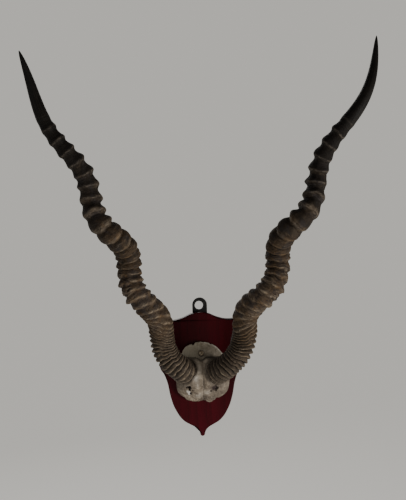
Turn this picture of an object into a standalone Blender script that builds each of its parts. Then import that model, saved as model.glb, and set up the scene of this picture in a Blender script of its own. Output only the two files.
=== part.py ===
"""A blackbuck horn trophy: two spiral, ringed horns on a cap of skull bone, screwed to a wooden shield.

Metres, +Z up. The trophy faces -Y, left and right are as seen from the front, and the origin is the
middle of the shield's flat back. The shield hangs on a wall by a ring plate let into its back.
"""
import math

import bmesh
import bpy
import numpy as np

COLLECTION = "blackbuck_horns"

# Fits: how far touching pieces stay apart, and how far a cutter runs past what it cuts
GAP = 0.0003
OVERSHOOT = 0.002

# Shield: the right half of its outline as (x, z). The three smooth lines meet at its corners.
SHIELD_THICKNESS = 0.016
SHIELD_EDGE_ROUND = 0.0014
SHIELD_TOP = ((0.0, 0.0970), (0.014, 0.0944), (0.027, 0.0887), (0.0405, 0.0851), (0.054, 0.0853),
              (0.068, 0.0891))
SHIELD_SIDE = ((0.068, 0.0891), (0.0625, 0.068), (0.0615, 0.042), (0.0665, 0.0145))
SHIELD_FOOT = ((0.0, -0.1010), (0.0030, -0.0995), (0.0042, -0.0955), (0.0060, -0.0915), (0.0110, -0.0865),
               (0.0195, -0.0818), (0.0283, -0.0765), (0.0368, -0.067), (0.0446, -0.0525), (0.0486, -0.0405),
               (0.0510, -0.0305), (0.0536, -0.0165), (0.0584, -0.002), (0.0638, 0.0065), (0.0665, 0.0145))

# Hanger: a flat plate with a round top and a round hole, let into the shield's back
HANGER_THICKNESS = 0.002
HANGER_RADIUS = 0.0119
HANGER_MIDDLE = (0.0008, 0.1079)
HANGER_HOLE_RADIUS = 0.0067
HANGER_HOLE = (-0.0004, 0.1074)
HANGER_FOOT_Z = 0.062
HANGER_FOOT_ROUND = 0.6
HANGER_SCREW_Z = (0.086, 0.069)

# Skull cap: its outline as (x, z), anticlockwise from the right side
CAP_MIDDLE = (0.0015, 0.003)
CAP_OUTLINE = ((0.046, 0.006), (0.0425, 0.02), (0.0345, 0.0315), (0.0255, 0.0418), (0.0135, 0.0487),
               (0.0, 0.0508), (-0.0135, 0.0484), (-0.024, 0.0434), (-0.0305, 0.0335), (-0.038, 0.021),
               (-0.0425, 0.007), (-0.0405, -0.007), (-0.039, -0.024), (-0.0345, -0.0315), (-0.0225, -0.0395),
               (-0.01, -0.0425), (0.002, -0.0415), (0.0125, -0.044), (0.0235, -0.0385), (0.0345, -0.0348),
               (0.0415, -0.0265), (0.0445, -0.0125))

# Skull cap: how far it stands in front of the shield at its edge and its brow, and how it falls from there
CAP_EDGE = 0.0065
CAP_BROW_HEIGHT = 0.031
CAP_SIDE_FALL = 0.011
CAP_CROWN_SLOPE = 0.0085
CAP_CROWN_STEP = 0.007
CAP_STEP_Z = 0.0252
CAP_STEP_DIP = 0.0038
CAP_STEP_DIP_WIDTH = 0.0085
CAP_STEP_WIDTH = 0.0025
CAP_TOP_FALL = 0.004
CAP_FOOT_FALL = 0.017
CAP_EDGE_ROUND = 4

# Skull cap: where each fall happens, as distances from the middle, and the rows of its surface as shares
# of the way from its foot to the step and from the step to its top
CAP_SIDE_REACH = 0.045
CAP_CROWN_RUN = (0.002, 0.030)
CAP_TOP_RUN = (0.036, 0.056)
CAP_FOOT_RUN = (0.012, 0.046)
CAP_STEP_LIMITS = (0.5, 0.82, 0.87)
CAP_COLUMNS = 31
ROWS_BELOW_STEP = (0.0, 0.04, 0.13, 0.26, 0.42, 0.58, 0.74, 0.88, 1.0)
ROWS_ABOVE_STEP = (0.0, 0.28, 0.55, 0.80, 0.95, 1.0)

# Skull cap: the two small round pits low in the brow, where blood vessels passed
PIT_RADIUS = 0.0043
PITS = ((-0.0197, -0.0184), (0.0198, -0.0200))

# Screws: head radius, head height, shank radius, shank length
CROWN_SCREW = (0.0042, 0.0018, 0.0019, 0.026)
HANGER_SCREW = (0.0034, 0.0017, 0.0014, 0.0105)
CROWN_SCREW_PLACE = (0.0002, 0.0335)
CROWN_SCREW_SEAT = 0.0136
CROWN_SCREW_CLEAR = 0.010
SLOT_WIDTH = 0.0010
SLOT_TURN = math.radians(-38)

# Horns: each is a tapering tube whose middle line coils round an axis. The axis leans forward, most at
# its base, and outwards. Outward lean, coil radius and pitch are given at five even stations, base to tip.
LEAN_AT_BASE = 55.0
LEAN_AT_TIP = 9.0
LEAN_FALL = 3
HORNS = {
    "horn_left": {
        "side": -1.0,
        "base": (-0.0263, -0.040, 0.0094),
        "axis_length": 0.530,
        "outward": (23.0, 22.0, 25.0, 27.5, 18.0),
        "coil_radius": (0.0065, 0.0065, 0.0078, 0.0056, 0.0026),
        "pitch": (0.159, 0.127, 0.1105, 0.153, 0.214),
        "start_angle": 37.5,
        "girth": 0.0171,
        "taper": (2.27, 0.566),
        "ring_shift": (-0.07, -0.28, 0.08, -0.02, 0.25),
    },
    "horn_right": {
        "side": 1.0,
        "base": (0.0259, -0.040, 0.0066),
        "axis_length": 0.5495,
        "outward": (17.0, 22.5, 25.0, 27.0, 13.5),
        "coil_radius": (0.0078, 0.0083, 0.0079, 0.0074, 0.0082),
        "pitch": (0.166, 0.128, 0.1155, 0.178, 0.259),
        "start_angle": 9.3,
        "girth": 0.0171,
        "taper": (2.19, 0.586),
        "ring_shift": (-0.17, 0.18, -0.24, -0.47, -0.42),
    },
}
PATH_STEPS = 600
ROOT_DEPTH = 0.004
SOCKET_RUN = 0.030

# Rings round the horns. The values in brackets are given at even stations from the base to the last
# ring: the gap between grooves, how proud a crest stands against the horn's radius, how narrow it is,
# how much prouder it is on the outer side and in front, and where it lies between its two grooves.
# The tilt is how far a ring's outer side lies up the horn from its middle, and the nod how far its front
# does. Up to the anchor a ring keeps its place on the outer side instead. For a stretch, every second
# ring fades on the outer side. Each ring is also uneven by chance. A groove and a crest rise less and
# more than the plain taper, as shares of the ring's height. The large rings further up have a row on the
# slope behind their crest as well. The first rings are counted below the base, where only the slope of
# one may show. A burr widens the base, and the smooth tip has rows of its own, as shares of its length.
RINGS_END = 0.466
RINGS_FADE = (0.020, 0.012)
RING_GAP = (0.0066, 0.0086, 0.0134, 0.0190, 0.0180)
RING_HEIGHT = (0.078, 0.080, 0.085, 0.098, 0.115, 0.120, 0.120, 0.105, 0.06)
RING_NARROWNESS = (0.75, 0.75, 1.0, 1.9, 1.2, 0.8, 2.8, 3.2, 3.6)
RING_OUTER_SHARE = (0.40, 0.35, 0.05, -0.40, -0.20)
RING_FRONT_SHARE = (0.0, 0.0, 0.0, -0.40, -0.30)
RING_TILT = (-0.002, -0.006, 0.010, 0.003, -0.003, 0.005, -0.004, 0.002, 0.002)
RING_NOD = (0.0, 0.006, 0.011, 0.004, 0.0, 0.0, 0.0, 0.0, 0.0)
RING_ANCHOR = (0.113, 0.155)
CREST_PLACE = (0.42, 0.40, 0.30, 0.38, 0.42)
CREST_MEASURED = 0.42
SLOPE_PLACE = 0.72
SLOPES_FROM = 0.225
PAIRED_RUN = (0.160, 0.178, 0.225, 0.245)
PAIRED_SIDE = (-0.3, 0.6)
PAIRED_FADE = 1.1
GROOVE_RISE = -0.9
CREST_RISE = 1.1
FIRST_RING = -2
RING_UNEVENNESS = 0.45
RING_SEED = 7
BURR_FLARE = 0.0022
BURR_LENGTH = 0.014
TIP_ROWS = (0.03, 0.22, 0.43, 0.62, 0.78, 0.90, 0.97, 0.993)
HORN_SIDES = 16
HORN_CREASE = math.radians(50)

COLOURS = {
    "horn": ((0.050, 0.036, 0.025), 0.55, 0.0),
    "bone": ((0.42, 0.36, 0.27), 0.75, 0.0),
    "stained_wood": ((0.060, 0.006, 0.006), 0.35, 0.0),
    "blackened_steel": ((0.012, 0.012, 0.011), 0.5, 1.0),
    "aged_screw": ((0.12, 0.085, 0.055), 0.5, 1.0),
}


def clear_scene():
    for item in list(bpy.data.objects):
        bpy.data.objects.remove(item, do_unlink=True)


def new_collection(name):
    collection = bpy.data.collections.new(name)
    bpy.context.scene.collection.children.link(collection)
    return collection


def material(name):
    colour, roughness, metallic = COLOURS[name]
    made = bpy.data.materials.get(name)
    if made is None:
        made = bpy.data.materials.new(name)
        made.use_nodes = True
        shader = made.node_tree.nodes["Principled BSDF"]
        shader.inputs["Base Color"].default_value = (*colour, 1.0)
        shader.inputs["Roughness"].default_value = roughness
        shader.inputs["Metallic"].default_value = metallic
    return made


def add_object(name, mesh, collection, finish=None):
    item = bpy.data.objects.new(name, mesh)
    collection.objects.link(item)
    if finish:
        mesh.materials.append(material(finish))
    return item


def as_cutter(item):
    item.hide_render = True
    item.display_type = "WIRE"
    return item


def cut(item, cutter):
    modifier = item.modifiers.new("cut_" + cutter.name, "BOOLEAN")
    modifier.operation = "DIFFERENCE"
    modifier.object = cutter
    modifier.solver = "EXACT"


def ease(low, high, value):
    """A smooth step from 0 at low to 1 at high."""
    share = np.clip((np.asarray(value, dtype=float) - low) / (high - low), 0.0, 1.0)
    return share * share * (3.0 - 2.0 * share)


def smooth_curve(points, place):
    """The smooth curve through evenly spaced points, read at a place that counts them from 0."""
    points = np.asarray(points, dtype=float)
    padded = np.concatenate([[2 * points[0] - points[1]], points, [2 * points[-1] - points[-2]]])
    place = np.clip(np.asarray(place, dtype=float), 0.0, len(points) - 1 - 1e-9)
    index = place.astype(int)
    part = place - index
    if points.ndim > 1:
        part = part[:, None]
    before, here, after, beyond = (padded[index + step] for step in range(4))
    cubic = 3 * (here - after) + beyond - before
    square = 2 * before - 5 * here + 4 * after - beyond
    return here + 0.5 * part * (after - before + part * (square + part * cubic))


def smooth_line(points, steps):
    """Points along the smooth curve through a few points, with so many steps between each two."""
    return smooth_curve(points, np.arange((len(points) - 1) * steps + 1) / steps)


def mirrored(points):
    """A right half, given from the middle outwards, with its left half before it."""
    return [(-x, z) for x, z in reversed(points[1:])] + list(points)


def flat_solid(name, loops, depth, front, collection, finish=None):
    """A flat solid with its face in the XZ plane: the first loop is its outline, the rest are holes."""
    curve = bpy.data.curves.new(name, "CURVE")
    curve.dimensions = "2D"
    curve.fill_mode = "BOTH"
    curve.extrude = depth / 2
    for loop in loops:
        spline = curve.splines.new("POLY")
        spline.points.add(len(loop) - 1)
        for point, (x, z) in zip(spline.points, loop):
            point.co = (x, z, 0.0, 1.0)
        spline.use_cyclic_u = True
    drawn = bpy.data.objects.new(name + "_outline", curve)
    collection.objects.link(drawn)
    drawn.rotation_euler = (math.radians(90), 0.0, 0.0)
    drawn.location = (0.0, front + depth / 2, 0.0)
    bpy.context.view_layer.update()
    evaluated = drawn.evaluated_get(bpy.context.evaluated_depsgraph_get())
    mesh = bpy.data.meshes.new_from_object(evaluated)
    mesh.name = name
    shape = bmesh.new()
    shape.from_mesh(mesh)
    bmesh.ops.remove_doubles(shape, verts=shape.verts, dist=1e-6)
    shape.to_mesh(mesh)
    shape.free()
    item = add_object(name, mesh, collection, finish)
    item.matrix_world = drawn.matrix_world.copy()
    bpy.data.objects.remove(drawn)
    return item


def circle_loop(middle, radius, steps, start=0.0, sweep=math.tau):
    count = steps if sweep >= math.tau else steps + 1
    angles = [start + sweep * step / steps for step in range(count)]
    return [(middle[0] + radius * math.cos(a), middle[1] + radius * math.sin(a)) for a in angles]


def round_front_edge(item, width):
    """Rounds the edge between the front face, at local +Z, and the sides."""
    shape = bmesh.new()
    shape.from_mesh(item.data)
    shape.normal_update()
    front = [face for face in shape.faces if face.normal.z > 0.9]
    rim = {edge for face in front for edge in face.edges if any(f.normal.z < 0.5 for f in edge.link_faces)}
    bmesh.ops.bevel(shape, geom=list(rim), offset=width, segments=2, profile=0.5, affect="EDGES")
    shape.to_mesh(item.data)
    shape.free()


def turned(name, profile, collection, finish=None, steps=20):
    """A solid turned round its own Z, from (radius, height) points that run down its outer side."""
    mesh = bpy.data.meshes.new(name)
    points = [(radius, 0.0, height) for radius, height in profile]
    mesh.from_pydata(points, [(i, i + 1) for i in range(len(points) - 1)], [])
    item = add_object(name, mesh, collection, finish)
    screw = item.modifiers.new("turn", "SCREW")
    screw.steps = steps
    screw.render_steps = steps
    screw.use_merge_vertices = True
    screw.merge_threshold = 0.00001
    return item


def screw_profile(size, flat_head, extra=0.0, clear=0.0):
    """A wood screw's outline: extra widens it all round for a cutter, and clear lengthens its head."""
    head_radius, head_height, shank_radius, shank_length = size
    if flat_head:
        head = [(head_radius + extra, 0.0), (shank_radius + extra, -head_height)]
        head = ([(0.0, clear), (head_radius + extra, clear)] if clear else [(0.0, 0.0)]) + head
        neck = -head_height
    else:
        head = [(0.0, head_height + clear), (head_radius * 0.72 + extra, head_height * 0.9 + clear),
                (head_radius + extra, head_height * 0.45 + clear), (head_radius + extra, -extra),
                (shank_radius + extra, -extra)]
        neck = 0.0
    tail = neck - shank_length - extra
    return head + [(shank_radius + extra, tail + shank_radius * 2), (0.0, tail)]


def build_shield(collection, cutters):
    top = smooth_line(mirrored(SHIELD_TOP), 3)
    side = smooth_line(SHIELD_SIDE, 3)
    foot = smooth_line(mirrored(SHIELD_FOOT), 2)[::-1]
    left_side = [(-x, z) for x, z in side[::-1]]
    loop = list(top) + list(side[1:-1]) + list(foot) + left_side[1:-1]
    shield = flat_solid("plaque", [loop], SHIELD_THICKNESS, -SHIELD_THICKNESS, collection, "stained_wood")
    round_front_edge(shield, SHIELD_EDGE_ROUND)
    pocket_loop = hanger_loop(GAP)
    depth = HANGER_THICKNESS + 2 * GAP
    pocket = flat_solid("hanger_pocket", [pocket_loop], depth + OVERSHOOT, -depth, cutters)
    cut(shield, as_cutter(pocket))
    return shield


def hanger_loop(extra):
    radius = HANGER_RADIUS + extra
    foot_radius = radius * HANGER_FOOT_ROUND
    foot_z = HANGER_FOOT_Z - extra + foot_radius
    x = HANGER_MIDDLE[0]
    loop = circle_loop(HANGER_MIDDLE, radius, 16, 0.0, math.pi)
    inset = radius - foot_radius
    loop += circle_loop((x - inset, foot_z), foot_radius, 4, math.pi, math.pi / 2)
    loop += circle_loop((x + inset, foot_z), foot_radius, 4, -math.pi / 2, math.pi / 2)
    return loop


def build_hanger(collection):
    hole = circle_loop(HANGER_HOLE, HANGER_HOLE_RADIUS, 24)
    return flat_solid("hanger", [hanger_loop(0.0), hole], HANGER_THICKNESS, -HANGER_THICKNESS - GAP,
                      collection, "blackened_steel")


def build_hanger_screws(collection, cutters, hanger, shield):
    """Two flat-headed screws, flush with the plate's back."""
    for name, z in zip(("hanger_screw_upper", "hanger_screw_lower"), HANGER_SCREW_Z):
        place = (HANGER_MIDDLE[0], -GAP, z)
        turn = (math.radians(-90), 0.0, 0.0)
        screw = turned(name, screw_profile(HANGER_SCREW, True), collection, "aged_screw", 12)
        hole = turned(name + "_hole", screw_profile(HANGER_SCREW, True, GAP, OVERSHOOT), cutters, None, 12)
        for item in (screw, as_cutter(hole)):
            item.location = place
            item.rotation_euler = turn
        cut(hanger, hole)
        cut(shield, hole)


def cap_line():
    """The cap's outline as one smooth closed line, anticlockwise from the right side."""
    closed = CAP_OUTLINE[-1:] + CAP_OUTLINE + CAP_OUTLINE[:2]
    return smooth_line(closed, 8)[8:-8]


def cap_share(x, z):
    """How far out a place on the cap lies: 0 at its middle and 1 on its outline."""
    line = cap_line() - np.array(CAP_MIDDLE)
    heading = np.unwrap(np.arctan2(line[:, 1], line[:, 0]))
    angle = np.arctan2(z - CAP_MIDDLE[1], x - CAP_MIDDLE[0])
    around = heading[0] + np.mod(angle - heading[0], math.tau)
    reach = np.interp(around, heading, np.hypot(line[:, 0], line[:, 1]))
    return np.minimum(np.hypot(x - CAP_MIDDLE[0], z - CAP_MIDDLE[1]) / reach, 1.0)


def step_height(x):
    """The height at which the brow steps down to the crown, lowest in the middle."""
    return CAP_STEP_Z + CAP_STEP_DIP * (ease(0.0, CAP_STEP_DIP_WIDTH, np.abs(x)) - 1.0)


def cap_height(x, z):
    """How far the bone stands in front of the shield."""
    step = step_height(x)
    height = CAP_BROW_HEIGHT - CAP_SIDE_FALL * (x / CAP_SIDE_REACH) ** 2
    height = height - CAP_CROWN_SLOPE * ease(*CAP_CROWN_RUN, z) - CAP_TOP_FALL * ease(*CAP_TOP_RUN, z)
    height = height - CAP_CROWN_STEP * ease(step, step + CAP_STEP_WIDTH, z)
    height = height - CAP_FOOT_FALL * ease(*CAP_FOOT_RUN, -z)
    height = np.maximum(height, CAP_EDGE)
    return CAP_EDGE + (height - CAP_EDGE) * (1.0 - cap_share(x, z) ** CAP_EDGE_ROUND)


def build_cap(collection, cutters):
    """The bone as columns of points from its foot to its top. Two of their rows follow the step."""
    back_y = -SHIELD_THICKNESS - GAP
    line = cap_line()[:-1]
    right_end = int(np.argmax(line[:, 0]))
    line = np.roll(line, -right_end, axis=0)
    left_end = int(np.argmin(line[:, 0]))
    upper = line[left_end::-1]
    lower = np.concatenate([line[left_end:], line[:1]])
    turn = np.pi * np.arange(CAP_COLUMNS + 2) / (CAP_COLUMNS + 1)
    columns = (upper[0, 0] + upper[-1, 0] - (upper[-1, 0] - upper[0, 0]) * np.cos(turn)) / 2
    tops = np.interp(columns, np.maximum.accumulate(upper[:, 0]), upper[:, 1])
    feet = np.interp(columns, np.maximum.accumulate(lower[:, 0]), lower[:, 1])
    below = np.array(ROWS_BELOW_STEP)
    above = np.array(ROWS_ABOVE_STEP)
    shape = bmesh.new()
    grid = []
    for x, foot, top in zip(columns, feet, tops):
        lowest, highest, far_limit = (foot + share * (top - foot) for share in CAP_STEP_LIMITS)
        step = np.clip(step_height(x), lowest, highest)
        far_side = min(step + CAP_STEP_WIDTH, far_limit)
        heights = np.concatenate([foot + (step - foot) * below, far_side + (top - far_side) * above])
        if top - foot < 1e-6:
            heights = heights[:1]
        stands = cap_height(np.full(len(heights), x), heights)
        grid.append([shape.verts.new((x, back_y - stand, z)) for z, stand in zip(heights, stands)])
    for left, right in zip(grid, grid[1:]):
        for row in range(max(len(left), len(right)) - 1):
            corners = [left[min(row, len(left) - 1)], right[min(row, len(right) - 1)],
                       right[min(row + 1, len(right) - 1)], left[min(row + 1, len(left) - 1)]]
            shape.faces.new(list(dict.fromkeys(corners)))
    rim = [column[0] for column in grid] + [column[-1] for column in grid[-2:0:-1]]
    behind = [shape.verts.new((vert.co.x, back_y, vert.co.z)) for vert in rim]
    for step in range(len(rim)):
        after = (step + 1) % len(rim)
        shape.faces.new((rim[after], rim[step], behind[step], behind[after]))
    shape.faces.new(behind)
    bmesh.ops.recalc_face_normals(shape, faces=shape.faces)
    bmesh.ops.triangulate(shape, faces=shape.faces)
    mesh = bpy.data.meshes.new("skull_cap")
    shape.to_mesh(mesh)
    shape.free()
    cap = add_object("skull_cap", mesh, collection, "bone")
    for number, (x, z) in enumerate(PITS):
        cut(cap, pit_cutter(f"pit_{number}", x, z, cutters))
    return cap


def pit_cutter(name, x, z, cutters):
    """A round-bottomed pit half sunk in the brow."""
    shape = bmesh.new()
    bmesh.ops.create_icosphere(shape, subdivisions=2, radius=PIT_RADIUS)
    mesh = bpy.data.meshes.new(name)
    shape.to_mesh(mesh)
    shape.free()
    pit = add_object(name, mesh, cutters)
    surface = -SHIELD_THICKNESS - GAP - float(cap_height(x, z))
    pit.location = (x, surface, z)
    return as_cutter(pit)


def build_crown_screw(collection, cutters, cap, shield):
    """A round-headed slotted screw through the bone's crown into the shield."""
    x, z = CROWN_SCREW_PLACE
    place = (x, -SHIELD_THICKNESS - CROWN_SCREW_SEAT, z)
    turn = (math.radians(90), 0.0, 0.0)
    screw = turned("crown_screw", screw_profile(CROWN_SCREW, False), collection, "aged_screw", 16)
    hole = turned("crown_screw_hole", screw_profile(CROWN_SCREW, False, GAP, CROWN_SCREW_CLEAR), cutters,
                  None, 16)
    for item in (screw, as_cutter(hole)):
        item.location = place
        item.rotation_euler = turn
    cut(cap, hole)
    cut(shield, hole)
    head_radius, head_height = CROWN_SCREW[:2]
    shape = bmesh.new()
    bmesh.ops.create_cube(shape, size=1.0)
    bmesh.ops.scale(shape, vec=(head_radius * 3, head_height, SLOT_WIDTH), verts=shape.verts)
    mesh = bpy.data.meshes.new("crown_screw_slot")
    shape.to_mesh(mesh)
    shape.free()
    slot = add_object("crown_screw_slot", mesh, cutters)
    slot.location = (x, place[1] - head_height, z)
    slot.rotation_euler = (0.0, SLOT_TURN, 0.0)
    cut(screw, as_cutter(slot))


def horn_path(horn):
    """The middle line: distance run, points, place on the axis from 0 to 1, and two side directions."""
    side = horn["side"]
    place = np.linspace(0.0, 1.0, PATH_STEPS)
    station = place * (len(horn["outward"]) - 1)
    step = horn["axis_length"] / (PATH_STEPS - 1)
    outward = np.radians(smooth_curve(horn["outward"], station))
    lean = np.radians(LEAN_AT_TIP + (LEAN_AT_BASE - LEAN_AT_TIP) * (1.0 - place) ** LEAN_FALL)
    zero = np.zeros(PATH_STEPS)
    sideways = side * np.sin(outward)
    upwards = np.cos(outward)
    heading = np.stack([sideways * np.cos(lean), -np.sin(lean), upwards * np.cos(lean)], axis=1)
    inward = np.stack([-side * upwards, zero, np.sin(outward)], axis=1)
    front = np.stack([-sideways * np.sin(lean), -np.cos(lean), -upwards * np.sin(lean)], axis=1)
    axis = running_sum(heading, step)
    rate = math.tau / smooth_curve(horn["pitch"], station)
    angle = (math.radians(horn["start_angle"]) + running_sum(rate[:, None], step))[:, 0]
    reach = smooth_curve(horn["coil_radius"], station)
    points = axis + reach[:, None] * (np.cos(angle)[:, None] * inward + np.sin(angle)[:, None] * front)
    points += np.array(horn["base"]) - points[0]
    gaps = np.linalg.norm(np.diff(points, axis=0), axis=1)
    run = np.concatenate([[0.0], np.cumsum(gaps)])
    across, beside = side_directions(points)
    return run, points, place, across, beside


def running_sum(rates, step):
    """The integral of the rates from the first row to each row."""
    middles = (rates[1:] + rates[:-1]) * 0.5 * step
    return np.concatenate([np.zeros((1, rates.shape[1])), np.cumsum(middles, axis=0)])


def side_directions(points):
    """Two unit vectors square to the line at each point, carried along it without twisting."""
    along = np.gradient(points, axis=0)
    along /= np.linalg.norm(along, axis=1)[:, None]
    across = np.zeros_like(points)
    carried = np.array([1.0, 0.0, 0.0])
    for row, direction in enumerate(along):
        carried = carried - direction * np.dot(carried, direction)
        carried /= np.linalg.norm(carried)
        across[row] = carried
    return across, np.cross(along, across)


def along_rings(values, distance):
    """A value given at even stations from the base to the last ring, read at each distance run."""
    return smooth_curve(values, (len(values) - 1) * np.clip(distance / RINGS_END, 0.0, 1.0))


def ring_places(horn, counts, moved=0.0):
    """The distances run at which so many rings, whole or not, lie below. Moved shifts the grooves."""
    distance = np.linspace(0.0, RINGS_END + RINGS_FADE[1], 400)
    rate = 1.0 / along_rings(RING_GAP, distance)
    counted = running_sum(rate[:, None], distance[1])[:, 0] + along_rings(horn["ring_shift"], distance)
    counted += moved * (along_rings(CREST_PLACE, distance) - CREST_MEASURED)
    return np.interp(counts, counted, distance, right=np.inf)


def ring_rows(horn, run_length):
    """Rows of the loft: distance run, how far the surface rises, and the ring's number and unevenness."""
    chance = np.random.default_rng(RING_SEED + int(horn["side"]))
    rows = []
    number = FIRST_RING
    while True:
        uneven = (RING_UNEVENNESS * chance.random(), math.tau * chance.random())
        crest = ring_places(horn, number + CREST_MEASURED)
        groove, slope = ring_places(horn, number + np.array([0.0, SLOPE_PLACE]), 1.0)
        if groove > RINGS_END:
            break
        if number >= 0:
            rows.append((groove, GROOVE_RISE, number, (0.0, 0.0)))
            rows.append((crest, CREST_RISE, number, uneven))
        if SLOPES_FROM < slope < RINGS_END:
            crest_place = along_rings(CREST_PLACE, slope)
            fallen = (SLOPE_PLACE - crest_place) / (1.0 - crest_place)
            lobe = math.cos(math.pi / 2 * fallen) ** along_rings(RING_NARROWNESS, slope)
            rows.append((slope, GROOVE_RISE + (CREST_RISE - GROOVE_RISE) * lobe, number, uneven))
        number += 1
    rows = [row for row in rows if row[0] < RINGS_END]
    left = run_length - RINGS_END
    return rows + [(RINGS_END + left * share, 0.0, number, (0.0, 0.0)) for share in TIP_ROWS]


def horn_rows(name, extra=0.0, last=None):
    """Each row's middle and its points; extra widens them, and last is where to stop."""
    horn = HORNS[name]
    run, points, place, across, beside = horn_path(horn)
    power, blunt = horn["taper"]
    angles = np.arange(HORN_SIDES) * math.tau / HORN_SIDES
    outer = horn["side"] * np.cos(angles)
    front = -np.sin(angles)
    made = []
    for distance, rise, number, (uneven, prouder_side) in ring_rows(horn, run[-1]):
        if last is not None and distance > last:
            break
        fade = 1.0 - ease(RINGS_END - RINGS_FADE[0], RINGS_END + RINGS_FADE[1], distance)
        anchor = 1.0 - ease(*RING_ANCHOR, distance)
        tilted = along_rings(RING_TILT, distance) * (outer - anchor) + along_rings(RING_NOD, distance) * front
        along = np.maximum(distance + fade * tilted, 0.0)
        centre, first, second = (
            np.stack([np.interp(along, run, line[:, axis]) for axis in range(3)], axis=1)
            for line in (points, across, beside))
        radius = horn["girth"] * (1.0 - np.interp(along, run, place) ** power) ** blunt
        radius += BURR_FLARE * np.exp(-along / BURR_LENGTH)
        strength = 1.0 + uneven * np.cos(angles - prouder_side)
        strength += along_rings(RING_OUTER_SHARE, distance) * outer
        strength += along_rings(RING_FRONT_SHARE, distance) * front
        paired = ease(*PAIRED_RUN[:2], distance) * (1.0 - ease(*PAIRED_RUN[2:], distance))
        strength *= 1.0 + PAIRED_FADE * paired * ease(*PAIRED_SIDE, outer) * (0.5 - number % 2)
        reach = radius * (1.0 + fade * along_rings(RING_HEIGHT, distance) * rise * strength) + extra
        outward = np.cos(angles)[:, None] * first + np.sin(angles)[:, None] * second
        made.append((centre.mean(axis=0), centre + reach[:, None] * outward))
    root = points[0] - (points[1] - points[0]) / (run[1] - run[0]) * (ROOT_DEPTH + extra)
    return [(root, made[0][1] + root - made[0][0])] + made, points[-1]


def loft(name, rows, end):
    """A closed tube over the rows, with a flat start and a point at its end."""
    shape = bmesh.new()
    rings = [[shape.verts.new(point) for point in ring] for _, ring in rows]
    first = shape.verts.new(rows[0][0])
    last = shape.verts.new(end)
    for step in range(HORN_SIDES):
        after = (step + 1) % HORN_SIDES
        shape.faces.new((first, rings[0][after], rings[0][step]))
        shape.faces.new((last, rings[-1][step], rings[-1][after]))
        for lower, upper in zip(rings, rings[1:]):
            shape.faces.new((lower[step], lower[after], upper[after], upper[step]))
    bmesh.ops.triangulate(shape, faces=shape.faces)
    bmesh.ops.recalc_face_normals(shape, faces=shape.faces)
    mesh = bpy.data.meshes.new(name)
    shape.to_mesh(mesh)
    shape.free()
    return mesh


def build_horns(collection, cutters, cap):
    for name in HORNS:
        rows, tip = horn_rows(name)
        item = add_object(name, loft(name, rows, tip), collection, "horn")
        item.data.shade_smooth()
        item.data.set_sharp_from_angle(angle=HORN_CREASE)
        rows, tip = horn_rows(name, GAP, SOCKET_RUN)
        socket = add_object(name + "_socket", loft(name + "_socket", rows, rows[-1][0]), cutters)
        cut(cap, as_cutter(socket))


def main():
    clear_scene()
    collection = new_collection(COLLECTION)
    cutters = new_collection("cutters")
    shield = build_shield(collection, cutters)
    hanger = build_hanger(collection)
    build_hanger_screws(collection, cutters, hanger, shield)
    cap = build_cap(collection, cutters)
    build_crown_screw(collection, cutters, cap, shield)
    build_horns(collection, cutters, cap)


main()
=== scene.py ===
"""The looks of a blackbuck horn trophy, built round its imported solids. Metres, +Z up, front towards -Y."""

import math

import bmesh
import bpy
import numpy as np
from mathutils import Matrix, Vector


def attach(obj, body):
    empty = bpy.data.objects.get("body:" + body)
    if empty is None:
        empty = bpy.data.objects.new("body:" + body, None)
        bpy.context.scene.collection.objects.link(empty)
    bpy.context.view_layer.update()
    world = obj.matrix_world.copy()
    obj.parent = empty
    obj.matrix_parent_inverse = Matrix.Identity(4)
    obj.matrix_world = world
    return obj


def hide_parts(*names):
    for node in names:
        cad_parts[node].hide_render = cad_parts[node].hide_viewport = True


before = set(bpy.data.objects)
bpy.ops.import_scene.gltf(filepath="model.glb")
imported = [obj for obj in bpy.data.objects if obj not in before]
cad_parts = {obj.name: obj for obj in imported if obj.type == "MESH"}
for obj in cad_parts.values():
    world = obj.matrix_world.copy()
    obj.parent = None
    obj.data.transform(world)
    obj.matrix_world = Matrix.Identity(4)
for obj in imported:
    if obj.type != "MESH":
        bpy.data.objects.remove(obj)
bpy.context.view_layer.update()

# The photograph's viewpoint
EYE = (-0.040, -1.0, 0.1966)
VIEW_TURN = math.radians(-2.79)
VIEW_ROLL = math.radians(1.47)
LENS = 44.32
SENSOR_HEIGHT = 36.0
VIEW_RANGE = (0.01, 50.0)

# The studio. Each lamp has a name, place, target, width, watts and colour
FLOOR_Z = -0.9
FLOOR_HALF_WIDTH = 40.0
FLOOR_COLOUR = (0.50, 0.49, 0.47)
BACKDROP = 0.52
BACKDROP_COLOUR = (1.0, 0.975, 0.91)
SOFT_LIGHT = 0.145
SOFT_COLOUR = (1.0, 0.985, 0.96)
LAMPS = (("key", (1.50, -1.15, -0.22), (0.0, -0.1, 0.0), 0.6, 23.0, (1.0, 0.96, 0.90)),
         ("fill", (-1.2, -1.6, 0.5), (0.0, -0.1, 0.15), 1.2, 2.4, (0.93, 0.96, 1.0)),
         ("rim", (-0.5, 1.7, 1.0), (0.0, 0.0, 0.1), 1.6, 11.0, (1.0, 0.98, 0.95)))

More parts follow.
